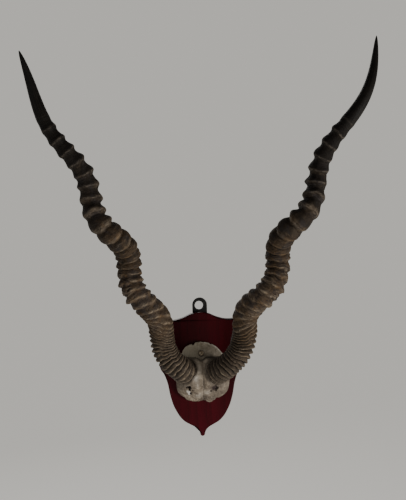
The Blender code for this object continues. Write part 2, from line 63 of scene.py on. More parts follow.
# The shield and hanging plate, in the same sizes as the solids. Outlines are (x, z)
GAP = 0.0003
SHIELD_THICKNESS = 0.016
SHIELD_BACK_ROUND = 0.0005
SHIELD_EDGE_ROUND = 0.0014
SHIELD_TOP = ((0.0, 0.0970), (0.014, 0.0944), (0.027, 0.0887), (0.0405, 0.0851), (0.054, 0.0853),
              (0.068, 0.0891))
SHIELD_SIDE = ((0.068, 0.0891), (0.0625, 0.068), (0.0615, 0.042), (0.0665, 0.0145))
SHIELD_FOOT = ((0.0, -0.1010), (0.0030, -0.0995), (0.0042, -0.0955), (0.0060, -0.0915), (0.0110, -0.0865),
               (0.0195, -0.0818), (0.0283, -0.0765), (0.0368, -0.067), (0.0446, -0.0525), (0.0486, -0.0405),
               (0.0510, -0.0305), (0.0536, -0.0165), (0.0584, -0.002), (0.0638, 0.0065), (0.0665, 0.0145))
HANGER_THICKNESS = 0.002
HANGER_EDGE_ROUND = 0.0003
HANGER_RADIUS = 0.0119
HANGER_CORNER_SHARE = 0.6
HANGER_MIDDLE = (0.0008, 0.1079)
HANGER_HOLE_RADIUS = 0.0067
HANGER_HOLE = (-0.0004, 0.1074)
HANGER_FOOT_Z = 0.062

# The screws: head radius and height, shank radius and length. The slots: width and depth
CROWN_SCREW = (0.0042, 0.0018, 0.0019, 0.026)
CROWN_SCREW_SIDES = 56
CROWN_SCREW_PLACE = (0.0002, 0.0335)
CROWN_SCREW_SEAT = 0.0136
CROWN_SLOT = (0.0010, 0.00198)
CROWN_SLOT_TURN = math.radians(38)
HANGER_SCREW = (0.0034, 0.0017, 0.0014, 0.0105)
HANGER_SCREW_SIDES = 40
HANGER_SLOT = (0.0008, 0.0018)
HANGER_SCREWS = (("hanger_screw_upper", 0.086, 0.5), ("hanger_screw_lower", 0.069, -0.9))
SINK_CLEARANCE = 0.0002
SINK_DEPTH = 0.006
CUT_BEYOND = 0.002

# The skull cap, in the same sizes as the solid. A wall is its share of the edge's height and its inset
CAP_MIDDLE = (0.0015, 0.003)
CAP_OUTLINE = ((0.046, 0.006), (0.0425, 0.02), (0.0345, 0.0315), (0.0255, 0.0418), (0.0135, 0.0487),
               (0.0, 0.0508), (-0.0135, 0.0484), (-0.024, 0.0434), (-0.0305, 0.0335), (-0.038, 0.021),
               (-0.0425, 0.007), (-0.0405, -0.007), (-0.039, -0.024), (-0.0345, -0.0315), (-0.0225, -0.0395),
               (-0.01, -0.0425), (0.002, -0.0415), (0.0125, -0.044), (0.0235, -0.0385), (0.0345, -0.0348),
               (0.0415, -0.0265), (0.0445, -0.0125))
CAP_EDGE = 0.0065
CAP_BROW_HEIGHT = 0.031
CAP_HALF_WIDTH = 0.045
CAP_SIDE_FALL = 0.011
CAP_CROWN_SLOPE = 0.0085
CAP_CROWN_RANGE = (0.002, 0.030)
CAP_CROWN_STEP = 0.007
CAP_STEP_Z = 0.0252
CAP_STEP_DIP = 0.0038
CAP_STEP_DIP_WIDTH = 0.0085
CAP_STEP_WIDTH = 0.0025
CAP_TOP_FALL = 0.004
CAP_TOP_RANGE = (0.036, 0.056)
CAP_FOOT_FALL = 0.017
CAP_FOOT_RANGE = (0.012, 0.046)
CAP_ROUNDNESS = 4
CAP_LEAST_HEIGHT = 0.0012
CAP_WALLS = ((0.72, 0.0), (0.30, 0.0), (0.0, 0.0003))

# Details of the bone, each after its place (x, z), or x alone for a notch. A hole has two half widths, a
# depth and a squareness, a pale patch two half widths and a strength, a flake or a stain a size, and a
# notch a half width and a depth
BONE_SEED = 80
SEAM_X = 0.0018
SHEATH_REACH = {"horn_left": 0.0050, "horn_right": 0.0076}
STAIN = (0.0262, -0.0225, 0.0055)
HOLES = ((-0.0194, -0.0190, 0.0024, 0.0052, 0.0048, 2.0), (-0.0206, -0.0174, 0.0046, 0.0021, 0.0036, 2.0),
         (0.0196, -0.0202, 0.0058, 0.0050, 0.0050, 1.6), (0.0140, -0.0246, 0.0014, 0.0014, 0.0022, 2.0),
         (-0.0180, -0.0284, 0.0018, 0.0026, 0.0026, 2.0), (-0.0150, -0.0225, 0.0008, 0.0008, 0.0014, 2.0))
FLAKES = ((-0.0208, -0.0262, 0.0032), (-0.0202, -0.0296, 0.0020), (-0.0228, -0.0242, 0.0018),
          (-0.0236, -0.0166, 0.0014))
PALE_PATCHES = ((-0.0085, -0.0040, 0.0042, 0.0080, 0.42), (-0.0050, -0.0330, 0.0060, 0.0040, 0.20),
                (-0.0040, 0.0100, 0.0030, 0.0070, 0.25), (0.0080, -0.0270, 0.0050, 0.0050, 0.16))
CRACKS = (((-0.0160, -0.0205), (-0.0120, -0.0260), (-0.0060, -0.0300)),
          ((-0.0240, -0.0300), (-0.0150, -0.0340), (-0.0100, -0.0400)),
          ((0.0260, -0.0240), (0.0300, -0.0300), (0.0330, -0.0320)))
TOP_NOTCHES = ((-0.0116, 0.0022, 0.0024), (0.0155, 0.0018, 0.0012))
FOOT_NOTCHES = ((0.0236, 0.0016, 0.0012), (-0.0286, 0.0024, 0.0010), (0.0040, 0.0030, 0.0008))
FOOT_DROP = 0.0017
FOOT_DROP_RANGE = (0.036, 0.024)

# The horns, drawn as the solids are. Lists run from the base to the tip, or to the last ring
LEAN_AT_BASE = 55.0
LEAN_AT_TIP = 9.0
HORNS = {
    "horn_left": {
        "side": -1.0,
        "base": (-0.0263, -0.040, 0.0094),
        "axis_length": 0.530,
        "outward": (23.0, 22.0, 25.0, 27.5, 18.0),
        "coil_radius": (0.0065, 0.0065, 0.0078, 0.0056, 0.0026),
        "pitch": (0.159, 0.127, 0.1105, 0.153, 0.214),
        "start_angle": 37.5,
        "girth": 0.0171,
        "taper": (2.27, 0.566),
        "ring_shift": (-0.07, -0.28, 0.08, -0.02, 0.25),
        "seed": 40,
    },
    "horn_right": {
        "side": 1.0,
        "base": (0.0259, -0.040, 0.0066),
        "axis_length": 0.5495,
        "outward": (17.0, 22.5, 25.0, 27.0, 13.5),
        "coil_radius": (0.0078, 0.0083, 0.0079, 0.0074, 0.0082),
        "pitch": (0.166, 0.128, 0.1155, 0.178, 0.259),
        "start_angle": 9.3,
        "girth": 0.0171,
        "taper": (2.19, 0.586),
        "ring_shift": (-0.17, 0.18, -0.24, -0.47, -0.42),
        "seed": 60,
    },
}
PATH_STEPS = 600
ROOT_DEPTH = 0.004
RINGS_END = 0.466
RING_GAP = (0.0066, 0.0086, 0.0134, 0.0190, 0.0180)
RING_HEIGHT = (0.078, 0.080, 0.085, 0.098, 0.115, 0.120, 0.120, 0.105, 0.06)
RING_NARROWNESS = (0.75, 0.75, 1.0, 1.9, 1.2, 0.8, 2.8, 3.2, 3.6)
RING_OUTER_SHARE = (0.40, 0.35, 0.05, -0.40, -0.20)
RING_FRONT_SHARE = (0.0, 0.0, 0.0, -0.40, -0.30)
RING_TILT = (-0.002, -0.006, 0.010, 0.003, -0.003, 0.005, -0.004, 0.002, 0.002)
RING_NOD = (0.0, 0.006, 0.011, 0.004, 0.0, 0.0, 0.0, 0.0, 0.0)
RING_ANCHOR = (0.113, 0.155)
CREST_PLACE = (0.42, 0.40, 0.30, 0.38, 0.42)
CREST_MEASURED = 0.42
RIM_PLACE = (0.40, 0.36, 0.40, 0.38, 0.20, 0.12, 0.36, 0.40, 0.42)
RIM_WIDTH = (0.12, 0.11, 0.17, 0.11, 0.06)
PAIRED_FADE = 1.1
RING_UNEVENNESS = 0.45
RING_SEED = 7
GROOVE_BOLDNESS = (0.45, 1.35)
BURR_FLARE = 0.0022
BURR_LENGTH = 0.014
TIP_SLIMMER = 0.045

# Distances along a horn over which a change happens. Of four, the last two take it back
WAVES_RUN = (-0.020, 0.080)
COARSE_RUN = (0.08, 0.30)
TIP_RUN = (0.36, 0.44)
RINGED_RUN = (RINGS_END - 0.02, RINGS_END + 0.012)
CROSSED_RUN = (0.030, 0.050, 0.120, 0.150)
FAN_RUN = (0.035, 0.060, 0.115, 0.140)
CALM_RUN = (0.105, 0.135, 0.190, 0.220)
ECHO_RUN = (0.14, 0.18, 0.300, 0.345)
PAIRED_RUN = (0.160, 0.178, 0.225, 0.245)
TANGLED_RUN = (0.186, 0.198, 0.244, 0.262)
ROLLS_RUN = (0.205, 0.240, 0.300, 0.330)

# Noises on a horn: knots to the metre along it, and knots to its radius round it. Each one's place in this
# list is part of its seed
HORN_NOISES = {
    "wander": (28.0, 1.3), "waves": (90.0, 2.6), "wrinkle": (260.0, 1.8), "fine wrinkle": (650.0, 2.8),
    "fibre": (14.0, 22.0), "fine fibre": (40.0, 30.0), "swell": (22.0, 1.1), "groove width": (45.0, 2.2),
    "strength": (120.0, 1.6), "slanting": (330.0, 2.4), "crossing": (65.0, 2.8), "groove depth": (70.0, 1.5),
    "ripple": (60.0, 2.0), "echo": (52.0, 1.7), "tangle": (130.0, 2.6),
}

# How finely the visible horns and bone are made
HORN_SIDES = 80
HORN_ROWS = 1180
CAP_COLUMNS = 270
CAP_ROWS = (150, 90)


def ease(low, high, value):
    """A smooth step from 0 at low to 1 at high."""
    share = np.clip((np.asarray(value, dtype=float) - low) / (high - low), 0.0, 1.0)
    return share * share * (3.0 - 2.0 * share)


def between(starts, full, ends, gone, value):
    """A smooth step up from 0 to 1 and further on a smooth step down again."""
    return ease(starts, full, value) * (1.0 - ease(ends, gone, value))


def bell(value, width):
    """1 at 0, about a third at the width on either side, and smoothly on towards 0."""
    return np.exp(-(value / width) ** 2)


def smooth_curve(points, place):
    """The smooth curve through evenly spaced points, read at a place that counts them from 0."""
    points = np.asarray(points, dtype=float)
    padded = np.concatenate([[2 * points[0] - points[1]], points, [2 * points[-1] - points[-2]]])
    place = np.clip(np.asarray(place, dtype=float), 0.0, len(points) - 1 - 1e-9)
    index = place.astype(int)
    part = place - index
    if points.ndim > 1:
        part = part[:, None]
    before, here, after, beyond = (padded[index + step] for step in range(4))
    cubic = 3 * (here - after) + beyond - before
    square = 2 * before - 5 * here + 4 * after - beyond
    return here + 0.5 * part * (after - before + part * (square + part * cubic))


def smooth_line(points, steps):
    """Points along the smooth curve through a few points, with so many steps between each two."""
    return smooth_curve(points, np.arange((len(points) - 1) * steps + 1) / steps)


def mirrored(points):
    """A right half, given from the middle outwards, with its left half before it."""
    return [(-x, z) for x, z in reversed(points[1:])] + list(points)


def value_noise(points, seed):
    """Smooth seeded noise from -1 to 1 at an array of points, one unit between its knots."""
    base = np.floor(points).astype(np.int64)
    part = points - base
    part = part * part * (3.0 - 2.0 * part)
    total = np.zeros(len(points))
    for corner in range(2 ** points.shape[1]):
        weight = np.ones(len(points))
        key = np.full(len(points), seed * 7919 + 17, dtype=np.int64)
        for axis in range(points.shape[1]):
            bit = (corner >> axis) & 1
            weight = weight * (part[:, axis] if bit else 1.0 - part[:, axis])
            key = (key ^ (base[:, axis] + bit)) * 1103515245 + 12345
            key = (key ^ (key >> 15)) & 0x7FFFFFFF
        total = total + weight * (key % 65521) / 65520.0
    return total * 2.0 - 1.0


def line_noise(values, seed, row=0.0):
    """Noise that changes with one value only."""
    cells = np.stack([values.ravel(), np.full(values.size, row)], axis=1)
    return value_noise(cells, seed).reshape(values.shape)


def quads(*corners):
    """Faces from four arrays of point numbers, one for each corner."""
    return np.stack(corners, axis=-1).reshape(-1, 4).tolist()


def add_object(name, data):
    added = bpy.data.objects.new(name, data)
    bpy.context.scene.collection.objects.link(added)
    return added


def hand_over(piece, node):
    """Puts a finished piece on the root and hides the solid it stands for."""
    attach(piece, "root")
    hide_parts(node)


def mesh_of(shape, name):
    """Turns a finished shape into a mesh."""
    mesh = bpy.data.meshes.new(name)
    shape.to_mesh(mesh)
    shape.free()
    return mesh


def mesh_from_arrays(name, points, faces, made, values):
    """A smooth-shaded mesh with named numbers kept at its points for its material to read."""
    mesh = bpy.data.meshes.new(name)
    mesh.from_pydata(points.tolist(), [], faces)
    mesh.shade_smooth()
    for key, numbers in values.items():
        layer = mesh.attributes.new(key, "FLOAT", "POINT")
        layer.data.foreach_set("value", np.asarray(numbers, dtype=np.float32))
    mesh.validate()
    mesh.materials.append(made)
    return mesh


def running_sum(rates, step):
    """The integral of the rates from the first row to each row."""
    middles = (rates[1:] + rates[:-1]) * 0.5 * step
    return np.concatenate([np.zeros((1, rates.shape[1])), np.cumsum(middles, axis=0)])


def side_directions(points):
    """Two unit vectors square to the line at each point, carried along it without twisting."""
    along = np.gradient(points, axis=0)
    along /= np.linalg.norm(along, axis=1)[:, None]
    across = np.zeros_like(points)
    carried = np.array([1.0, 0.0, 0.0])
    for row, direction in enumerate(along):
        carried = carried - direction * np.dot(carried, direction)
        carried /= np.linalg.norm(carried)
        across[row] = carried
    return across, np.cross(along, across)


def horn_path(horn):
    """The middle line: distance run, points, place on the axis from 0 to 1, and two side directions."""
    side = horn["side"]
    place = np.linspace(0.0, 1.0, PATH_STEPS)
    step = horn["axis_length"] / (PATH_STEPS - 1)
    outward = np.radians(smooth_curve(horn["outward"], place * 4))
    lean = np.radians(LEAN_AT_TIP + (LEAN_AT_BASE - LEAN_AT_TIP) * (1.0 - place) ** 3)
    sideways = side * np.sin(outward)
    upwards = np.cos(outward)
    heading = np.stack([sideways * np.cos(lean), -np.sin(lean), upwards * np.cos(lean)], axis=1)
    inward = np.stack([-side * upwards, np.zeros(PATH_STEPS), np.sin(outward)], axis=1)
    front = np.stack([-sideways * np.sin(lean), -np.cos(lean), -upwards * np.sin(lean)], axis=1)
    rate = math.tau / smooth_curve(horn["pitch"], place * 4)
    angle = math.radians(horn["start_angle"]) + running_sum(rate[:, None], step)
    reach = smooth_curve(horn["coil_radius"], place * 4)[:, None]
    points = running_sum(heading, step) + reach * (np.cos(angle) * inward + np.sin(angle) * front)
    points += np.array(horn["base"]) - points[0]
    run = np.concatenate([[0.0], np.cumsum(np.linalg.norm(np.diff(points, axis=0), axis=1))])
    return run, points, place, *side_directions(points)


def along_rings(values, distance):
    """A value given at evenly spaced stations from the base to the last ring, read at each distance run."""
    return smooth_curve(values, (len(values) - 1) * np.clip(distance / RINGS_END, 0.0, 1.0))


def ring_count(horn):
    """Distances run from the base and how many rings lie below each."""
    distance = np.linspace(0.0, RINGS_END + 0.03, 400)
    rate = 1.0 / along_rings(RING_GAP, distance)
    counted = running_sum(rate[:, None], distance[1])[:, 0]
    return distance, counted + along_rings(horn["ring_shift"], distance)


class HornSkin:
    """The visible skin of one horn, on a grid of rows along it and turns round it."""

    def __init__(self, horn):
        self.horn = horn
        run, points, place, across, beside = horn_path(horn)
        self.root = points[0] - (points[1] - points[0]) / (run[1] - run[0]) * ROOT_DEPTH
        self.tip = points[-1]
        self.length = run[-1]
        share = np.linspace(0.0, 1.0, HORN_ROWS)
        distance = self.length * (0.82 * share + 0.18 * share ** 2.2)
        distance[-1] = self.length * 0.99985
        self.centre, self.first, self.second = (
            np.stack([np.interp(distance, run, line[:, axis]) for axis in range(3)], axis=1)[:, None]
            for line in (points, across, beside))
        power, blunt = horn["taper"]
        radius = horn["girth"] * (1.0 - np.interp(distance, run, place) ** power) ** blunt
        radius = radius + BURR_FLARE * np.exp(-distance / BURR_LENGTH)
        self.radius = (radius * (1.0 - TIP_SLIMMER * ease(*TIP_RUN, distance)))[:, None]

        angles = np.arange(HORN_SIDES) * math.tau / HORN_SIDES
        self.run, self.turns = np.meshgrid(distance, angles, indexing="ij")
        self.turn_x = np.cos(self.turns)
        self.turn_y = np.sin(self.turns)
        self.outer = horn["side"] * self.turn_x
        self.front = -self.turn_y
        self.low = 1.0 - ease(*COARSE_RUN, self.run)
        self.fade = 1.0 - ease(*RINGED_RUN, self.run)
        self.rolls = between(*ROLLS_RUN, self.run)
        self.fan = between(*FAN_RUN, self.run) * ease(0.1, 0.8, self.outer)
        self.tangled = between(*TANGLED_RUN, self.run) * self.off_sides(0.25, 0.78)
        self.slanting = self.noise("slanting", 0.010 * self.outer)
        self.crest = self.station(CREST_PLACE)
        self.count = self.counted()
        self.ring = np.floor(self.count).astype(int)
        self.part = self.count - self.ring
        self.rings = int(self.ring.max()) + 2

    def noise(self, kind, shift=0.0):
        per_metre, per_radius = HORN_NOISES[kind]
        cells = (self.run + shift) * per_metre, self.turn_x * per_radius, self.turn_y * per_radius
        cells = np.stack([axis.ravel() for axis in cells], axis=1) + 50.0
        seed = self.horn["seed"] + 1 + list(HORN_NOISES).index(kind)
        return value_noise(cells, seed).reshape(self.run.shape)

    def station(self, values):
        return along_rings(values, self.run.ravel()).reshape(self.run.shape)

    def off_sides(self, full, gone):
        """1 on the horn's front and back, falling to 0 towards its two sides."""
        return 1.0 - ease(full, gone, np.abs(self.outer))

    def counted(self):
        """Rings counted from the base, with waves so that they wander, tilt and here and there pinch."""
        anchor = 1.0 - ease(*RING_ANCHOR, self.run)
        tilted = self.run - self.station(RING_TILT) * (self.outer - anchor)
        tilted = np.maximum(tilted - self.station(RING_NOD) * self.front, 0.0)
        count = np.interp(tilted, *ring_count(self.horn)) + 2.0 + self.crest - CREST_MEASURED
        inner = (1.0 - ease(0.1, 0.7, self.outer)) * (1.0 - ease(0.12, 0.16, self.run))
        wavering = 0.05 + 0.12 * self.low * ease(*WAVES_RUN, self.run)
        crossed = between(*CROSSED_RUN, self.run) * self.off_sides(0.2, 0.75)
        count = count + (0.10 + 0.12 * self.low) * self.noise("wander")
        count = count + wavering * (1.0 + 0.9 * inner + 1.9 * self.tangled) * self.noise("waves")
        return count + 0.26 * crossed * self.noise("crossing")

    def ridges(self):
        """How far the rings stand out, as a share of the radius."""
        chance = np.random.default_rng(RING_SEED + int(self.horn["side"])).random((self.rings, 2))
        uneven = RING_UNEVENNESS * chance[self.ring, 0]
        strength = 1.0 + uneven * np.cos(self.turns - math.tau * chance[self.ring, 1])
        strength = strength + self.station(RING_OUTER_SHARE) * self.outer
        strength = strength + self.station(RING_FRONT_SHARE) * self.front
        paired = between(*PAIRED_RUN, self.run) * ease(-0.3, 0.6, self.outer)
        strength = strength * (1.0 + PAIRED_FADE * paired * (0.5 - self.ring % 2))
        strength = strength * (1.0 + 0.35 * self.low * self.noise("strength")) * (1.0 - 0.25 * self.tangled)
        part, crest = self.part, self.crest
        rise = np.where(part < crest, 0.5 * part / crest, 0.5 + 0.5 * (part - crest) / (1.0 - crest))
        lobe = np.sin(np.pi * rise) ** (self.station(RING_NARROWNESS) + 0.7 * self.fan)
        return self.fade * self.station(RING_HEIGHT) * strength * (2.0 * lobe - 0.9)

    def grooves(self):
        """The valleys between rings, and the slanting folds that take their place where rings tangle."""
        width = 0.09 + 0.05 * self.noise("groove width") + 0.05 * self.fan
        width = width + 0.09 * (1.0 - ease(0.06, 0.12, self.run)) + 0.05 * self.rolls
        boldness = np.random.default_rng(self.horn["seed"]).uniform(*GROOVE_BOLDNESS, self.rings + 1)
        bold = boldness[np.rint(self.count).astype(int)] - 1.0
        bold = (1.0 + bold * self.low * self.off_sides(0.5, 0.9)) * (1.0 + 0.4 * self.noise("groove depth"))
        groove = bell(np.minimum(self.part, 1.0 - self.part), np.maximum(width, 0.03)) * self.fade
        groove = groove * np.minimum(bold, 1.4) * (1.0 - 0.55 * between(*CALM_RUN, self.run))
        folds = 0.85 * self.tangled * ease(0.05, 0.5, -self.slanting)
        return np.maximum(groove * (1.0 - 0.5 * self.tangled), folds)

    def echoes(self):
        """Fine ripples that run beside the rings, and how much of them each place has."""
        echoed = between(*ECHO_RUN, self.run) * ease(-0.15, 0.45, self.noise("echo") + 0.5 * self.tangled)
        ripple = 3.0 * self.part + 0.5 * self.noise("ripple") + 0.7 * self.tangled * self.noise("tangle")
        return (0.5 + 0.5 * np.cos(math.tau * ripple)) ** 3 * echoed, echoed

    def relief(self, groove, echo, echoed):
        """Wrinkles that follow the rings, grooves, fibres that run along the horn, swellings and ripples."""
        wrinkle = self.noise("wrinkle") * 0.6 + self.noise("fine wrinkle") * 0.4
        fibre = self.noise("fibre") * 0.6 + self.noise("fine fibre") * 0.4
        relief = (0.00018 + 0.00060 * self.low) * wrinkle * self.fade
        relief = relief - (0.0002 + 0.0007 * self.low + 0.0004 * self.rolls) * groove
        relief = relief + (0.00010 + 0.00008 * self.low) * fibre * (0.3 + 0.7 * self.fade)
        relief = relief + 0.00035 * self.noise("swell") * self.fade + 0.0009 * self.tangled * self.slanting
        return relief + (0.00038 + 0.00025 * self.tangled) * (echo - 0.3 * echoed)


def horn_mesh(name, made):
    """The horn as a fine loft with a closed root and tip."""
    skin = HornSkin(HORNS[name])
    groove = skin.grooves()
    echo, echoed = skin.echoes()
    reach = np.maximum(skin.radius * (1.0 + skin.ridges()) + skin.relief(groove, echo, echoed), 0.00002)
    direction = skin.turn_x[..., None] * skin.first + skin.turn_y[..., None] * skin.second
    surface = skin.centre + reach[..., None] * direction
    start = skin.root + (surface[0] - skin.centre[0])
    vertices = np.concatenate([start, surface.reshape(-1, 3), [skin.root], [skin.tip]])

    step = np.arange(HORN_SIDES)
    after = np.roll(step, -1)
    row = HORN_SIDES * np.arange(HORN_ROWS)[:, None]
    faces = quads(row + step, row + after, row + HORN_SIDES + after, row + HORN_SIDES + step)
    last = HORN_SIDES * HORN_ROWS
    root = last + HORN_SIDES
    for here, there in zip(step.tolist(), after.tolist()):
        faces += [(root, there, here), (root + 1, last + here, last + there)]

    # The pale rim of each ring: rubbed paleness and a painted highlight
    rim = bell(skin.part - skin.station(RIM_PLACE), skin.station(RIM_WIDTH)) * skin.fade
    rim = np.maximum(rim * (1.0 - 0.5 * skin.tangled), (0.75 + 0.20 * skin.tangled) * echo)
    # Painted shade on each ring's side towards the tip
    painted_lee_shade = between(0.0, 0.12, 0.45, 0.75, skin.part - skin.crest) * skin.fade
    values = {"groove": groove, "rim": rim, "painted_lee_shade": painted_lee_shade, "turn_x": skin.turn_x, "turn_y": skin.turn_y}
    values = {key: np.concatenate([grid[0], grid.ravel(), [0.0, 0.0]]) for key, grid in values.items()}
    values["run"] = np.concatenate([skin.run[0], skin.run.ravel(), [0.0, skin.length]])
    return mesh_from_arrays(name + "_surface", vertices, faces, made, values)


def cap_line():
    """The cap's outline as one smooth closed line, anticlockwise from the right side."""
    return smooth_line(CAP_OUTLINE[-1:] + CAP_OUTLINE + CAP_OUTLINE[:2], 8)[8:-8]


def cap_share(x, z):
    """How far out a place on the cap lies: 0 at its middle and 1 on its outline."""
    line = cap_line() - np.array(CAP_MIDDLE)
    heading = np.unwrap(np.arctan2(line[:, 1], line[:, 0]))
    angle = np.arctan2(z - CAP_MIDDLE[1], x - CAP_MIDDLE[0])
    around = heading[0] + np.mod(angle - heading[0], math.tau)
    reach = np.interp(around, heading, np.hypot(line[:, 0], line[:, 1]))
    return np.minimum(np.hypot(x - CAP_MIDDLE[0], z - CAP_MIDDLE[1]) / reach, 1.0)


def step_height(x):
    """The height at which the brow steps down to the crown, lowest in the middle."""
    return CAP_STEP_Z + CAP_STEP_DIP * (ease(0.0, CAP_STEP_DIP_WIDTH, np.abs(x)) - 1.0)


def cap_height(x, z):
    """How far the bone stands in front of the shield."""
    step = step_height(x)
    height = CAP_BROW_HEIGHT - CAP_SIDE_FALL * (x / CAP_HALF_WIDTH) ** 2
    height = height - CAP_CROWN_SLOPE * ease(*CAP_CROWN_RANGE, z) - CAP_TOP_FALL * ease(*CAP_TOP_RANGE, z)
    height = height - CAP_CROWN_STEP * ease(step, step + CAP_STEP_WIDTH, z)
    height = np.maximum(height - CAP_FOOT_FALL * ease(*CAP_FOOT_RANGE, -z), CAP_EDGE)
    return CAP_EDGE + (height - CAP_EDGE) * (1.0 - cap_share(x, z) ** CAP_ROUNDNESS)


def bone_details(x, z):
    """Fine changes to the bone's height, and where it is dark, holed or bare and white. The dark includes
    painted shade.
    """
    cells = np.stack([x.ravel(), z.ravel()], axis=1) + 3.0

    def noise(per_metre, key):
        return value_noise(cells * per_metre, BONE_SEED + key).reshape(x.shape)

    def spot(place, half_x, half_z):
        return bell(x - place[0], half_x) * bell(z - place[1], half_z)

    relief = 0.00055 * noise(110.0, 1) + 0.00032 * noise(320.0, 2) + 0.00014 * noise(800.0, 3)

    # The seam between the two halves of the brow, a dark joint, in a valley darkened with painted shade
    on_brow = 1.0 - ease(CAP_STEP_Z - 0.004, CAP_STEP_Z, z)
    wander = 0.0005 * line_noise(z * 260.0, BONE_SEED + 11, 4.0)
    seam = bell(x - SEAM_X - wander, 0.0010 + 0.0002 * ease(-0.006, 0.018, z))
    seam = seam * on_brow * (0.92 + 0.08 * ease(-0.015, 0.02, z))
    valley = bell(x - SEAM_X, 0.0035) * on_brow * (0.4 + 0.6 * ease(-0.02, 0.02, z))
    # Painted shade along the seam's valley
    shade = 0.34 * bell(x - SEAM_X, 0.0052) * on_brow * (1.0 + 0.5 * noise(260.0, 9))
    relief = relief - 0.0010 * seam - 0.0008 * valley

    # Painted shade: the dark line where the brow overhangs the crown
    above_step = z - step_height(x)
    ledge = bell(above_step - 0.75 * CAP_STEP_WIDTH, 0.0008)
    relief = relief - 0.0012 * ledge + 0.0005 * bell(above_step + 0.0012, 0.0016)

    # Holes where vessels passed, with stained bone round them and their insides painted dark as shade
    hole = np.zeros_like(x)
    stained = 0.24 * spot(STAIN, STAIN[2], STAIN[2])
    for hole_x, hole_z, half_x, half_z, depth, power in HOLES:
        far = ((np.abs(x - hole_x) / half_x) ** power + (np.abs(z - hole_z) / half_z) ** power) ** (1 / power)
        inside = 1.0 - ease(0.55, 1.15, far * (1.0 + 0.30 * noise(480.0, 5)))
        funnel = bell(far, 2.1)
        relief = relief - depth * inside - 0.0006 * funnel
        hole = np.maximum(hole, inside)
        stained = np.maximum(stained, 0.30 * funnel)

    # Flakes of bare white bone, pale patches and a paler rim on the crown, growing towards the right
    white = np.zeros_like(x)
    for flake_x, flake_z, size in FLAKES:
        far = np.hypot(x - flake_x, z - flake_z) / size
        white = np.maximum(white, 1.0 - ease(0.6, 1.1, far * (1.0 + 0.35 * noise(600.0, 6))))
    relief = relief + 0.0004 * white
    for *place, half_x, half_z, strength in PALE_PATCHES:
        white = np.maximum(white, strength * spot(place, half_x, half_z) * (1.0 + 0.5 * noise(300.0, 7)))
    pale_crown_rim = ease(0.93, 0.99, cap_share(x, z)) * ease(0.024, 0.030, z) * ease(-0.012, 0.020, x)
    white = np.maximum(white, 0.26 * pale_crown_rim * (1.0 + 0.6 * noise(420.0, 8)))

    # Thin cracks, each bent once
    away = np.full(x.shape, 1.0)
    way = np.linspace(0.0, 1.0, 40)[:, None]
    for start, bend, end in np.array(CRACKS):
        line = (1 - way) ** 2 * start + 2 * way * (1 - way) * bend + way ** 2 * end
        line = line + 0.0005 * value_noise(line * 500.0, BONE_SEED + 15)[:, None]
        for line_x, line_z in line:
            away = np.minimum(away, np.hypot(x - line_x, z - line_z))
    crack = bell(away, 0.00045)
    relief = relief - 0.0004 * crack

    # Painted shade in the gap round the crown screw's head
    screw = np.hypot(x - CROWN_SCREW_PLACE[0], z - CROWN_SCREW_PLACE[1]) - CROWN_SCREW[0]
    screw_gap_shade = 0.85 * bell(np.maximum(screw, 0.0), 0.0009)
    # The dark: the seam, stains and cracks, and painted shade in the seam's valley, under the overhang and
    # round the screw
    dark = np.max([0.66 * seam, shade, 0.75 * ledge, stained, 0.75 * crack, screw_gap_shade], axis=0)
    return relief, dark, hole, white


def horn_nearness(points):
    """How near each point is to a horn's skin, from 0 to 1, and how much frayed sheath covers it."""
    x, _, z = points.T
    near = np.zeros(len(points))
    sheath = np.zeros(len(points))
    for name, horn in HORNS.items():
        line = horn_path(horn)[1]
        heading = (line[6] - line[0]) / np.linalg.norm(line[6] - line[0])
        offset = points - np.array(horn["base"])
        away = np.linalg.norm(offset - (offset @ heading)[:, None] * heading, axis=1) - horn["girth"]
        near = np.maximum(near, 1.0 - ease(0.0020, 0.0070, away))
        sheath = np.maximum(sheath, 1.0 - ease(SHEATH_REACH[name] - 0.0024, SHEATH_REACH[name], away))
    bridge = bell(x - SEAM_X, 0.011) * ease(-0.012, 0.006, z)
    return near * (1.0 - 0.8 * bridge), sheath * between(-0.016, -0.006, 0.024, 0.028, z)


def crowded(rows):
    """Places from 0 to 1, a little closer together towards 1."""
    even = np.linspace(0.0, 1.0, rows)
    return 0.5 * np.sin(even * np.pi / 2) + 0.5 * even


def bites(columns, notches):
    """How deep the notches of an edge are at each column."""
    return sum(depth * np.exp(-((columns - x) / width) ** 4) for x, width, depth in notches)


def cap_grid():
    """Places on the bone: columns from left to right, each with rows from its foot to its top."""
    line = cap_line()[:-1]
    line = np.roll(line, -int(np.argmax(line[:, 0])), axis=0)
    left_end = int(np.argmin(line[:, 0]))
    upper = line[left_end::-1]
    lower = np.concatenate([line[left_end:], line[:1]])
    turn = np.pi * np.arange(1, CAP_COLUMNS + 1) / (CAP_COLUMNS + 1)
    left, right = upper[0, 0], upper[-1, 0]
    columns = (left + right - (right - left) * np.cos(turn)) / 2
    tops, feet = (np.interp(columns, np.maximum.accumulate(x), z) for x, z in (upper.T, lower.T))
    rough = 0.5 + 0.5 * line_noise(columns * 260.0, 71)
    fine = 0.5 + 0.5 * line_noise(columns * 700.0, 72, 9.0)
    tops = tops - np.sin(turn) * (0.0006 * rough + 0.0003 * fine) - bites(columns, TOP_NOTCHES)
    feet = feet + np.sin(turn) * (0.0009 * (1.0 - fine) + 0.0004 * rough) + bites(columns, FOOT_NOTCHES)
    feet = feet - FOOT_DROP * ease(*FOOT_DROP_RANGE, np.abs(columns))
    tall = tops - feet
    step = np.clip(step_height(columns), feet + 0.5 * tall, feet + 0.82 * tall)
    beyond = np.minimum(step + CAP_STEP_WIDTH * 0.5, feet + 0.87 * tall)
    low_rows, high_rows = CAP_ROWS
    lower_z = feet[:, None] + (step - feet)[:, None] * crowded(low_rows)
    upper_z = beyond[:, None] + (tops - beyond)[:, None] * (1.0 - crowded(high_rows)[::-1])
    z = np.concatenate([lower_z, upper_z], axis=1)
    return np.repeat(columns[:, None], z.shape[1], axis=1), z


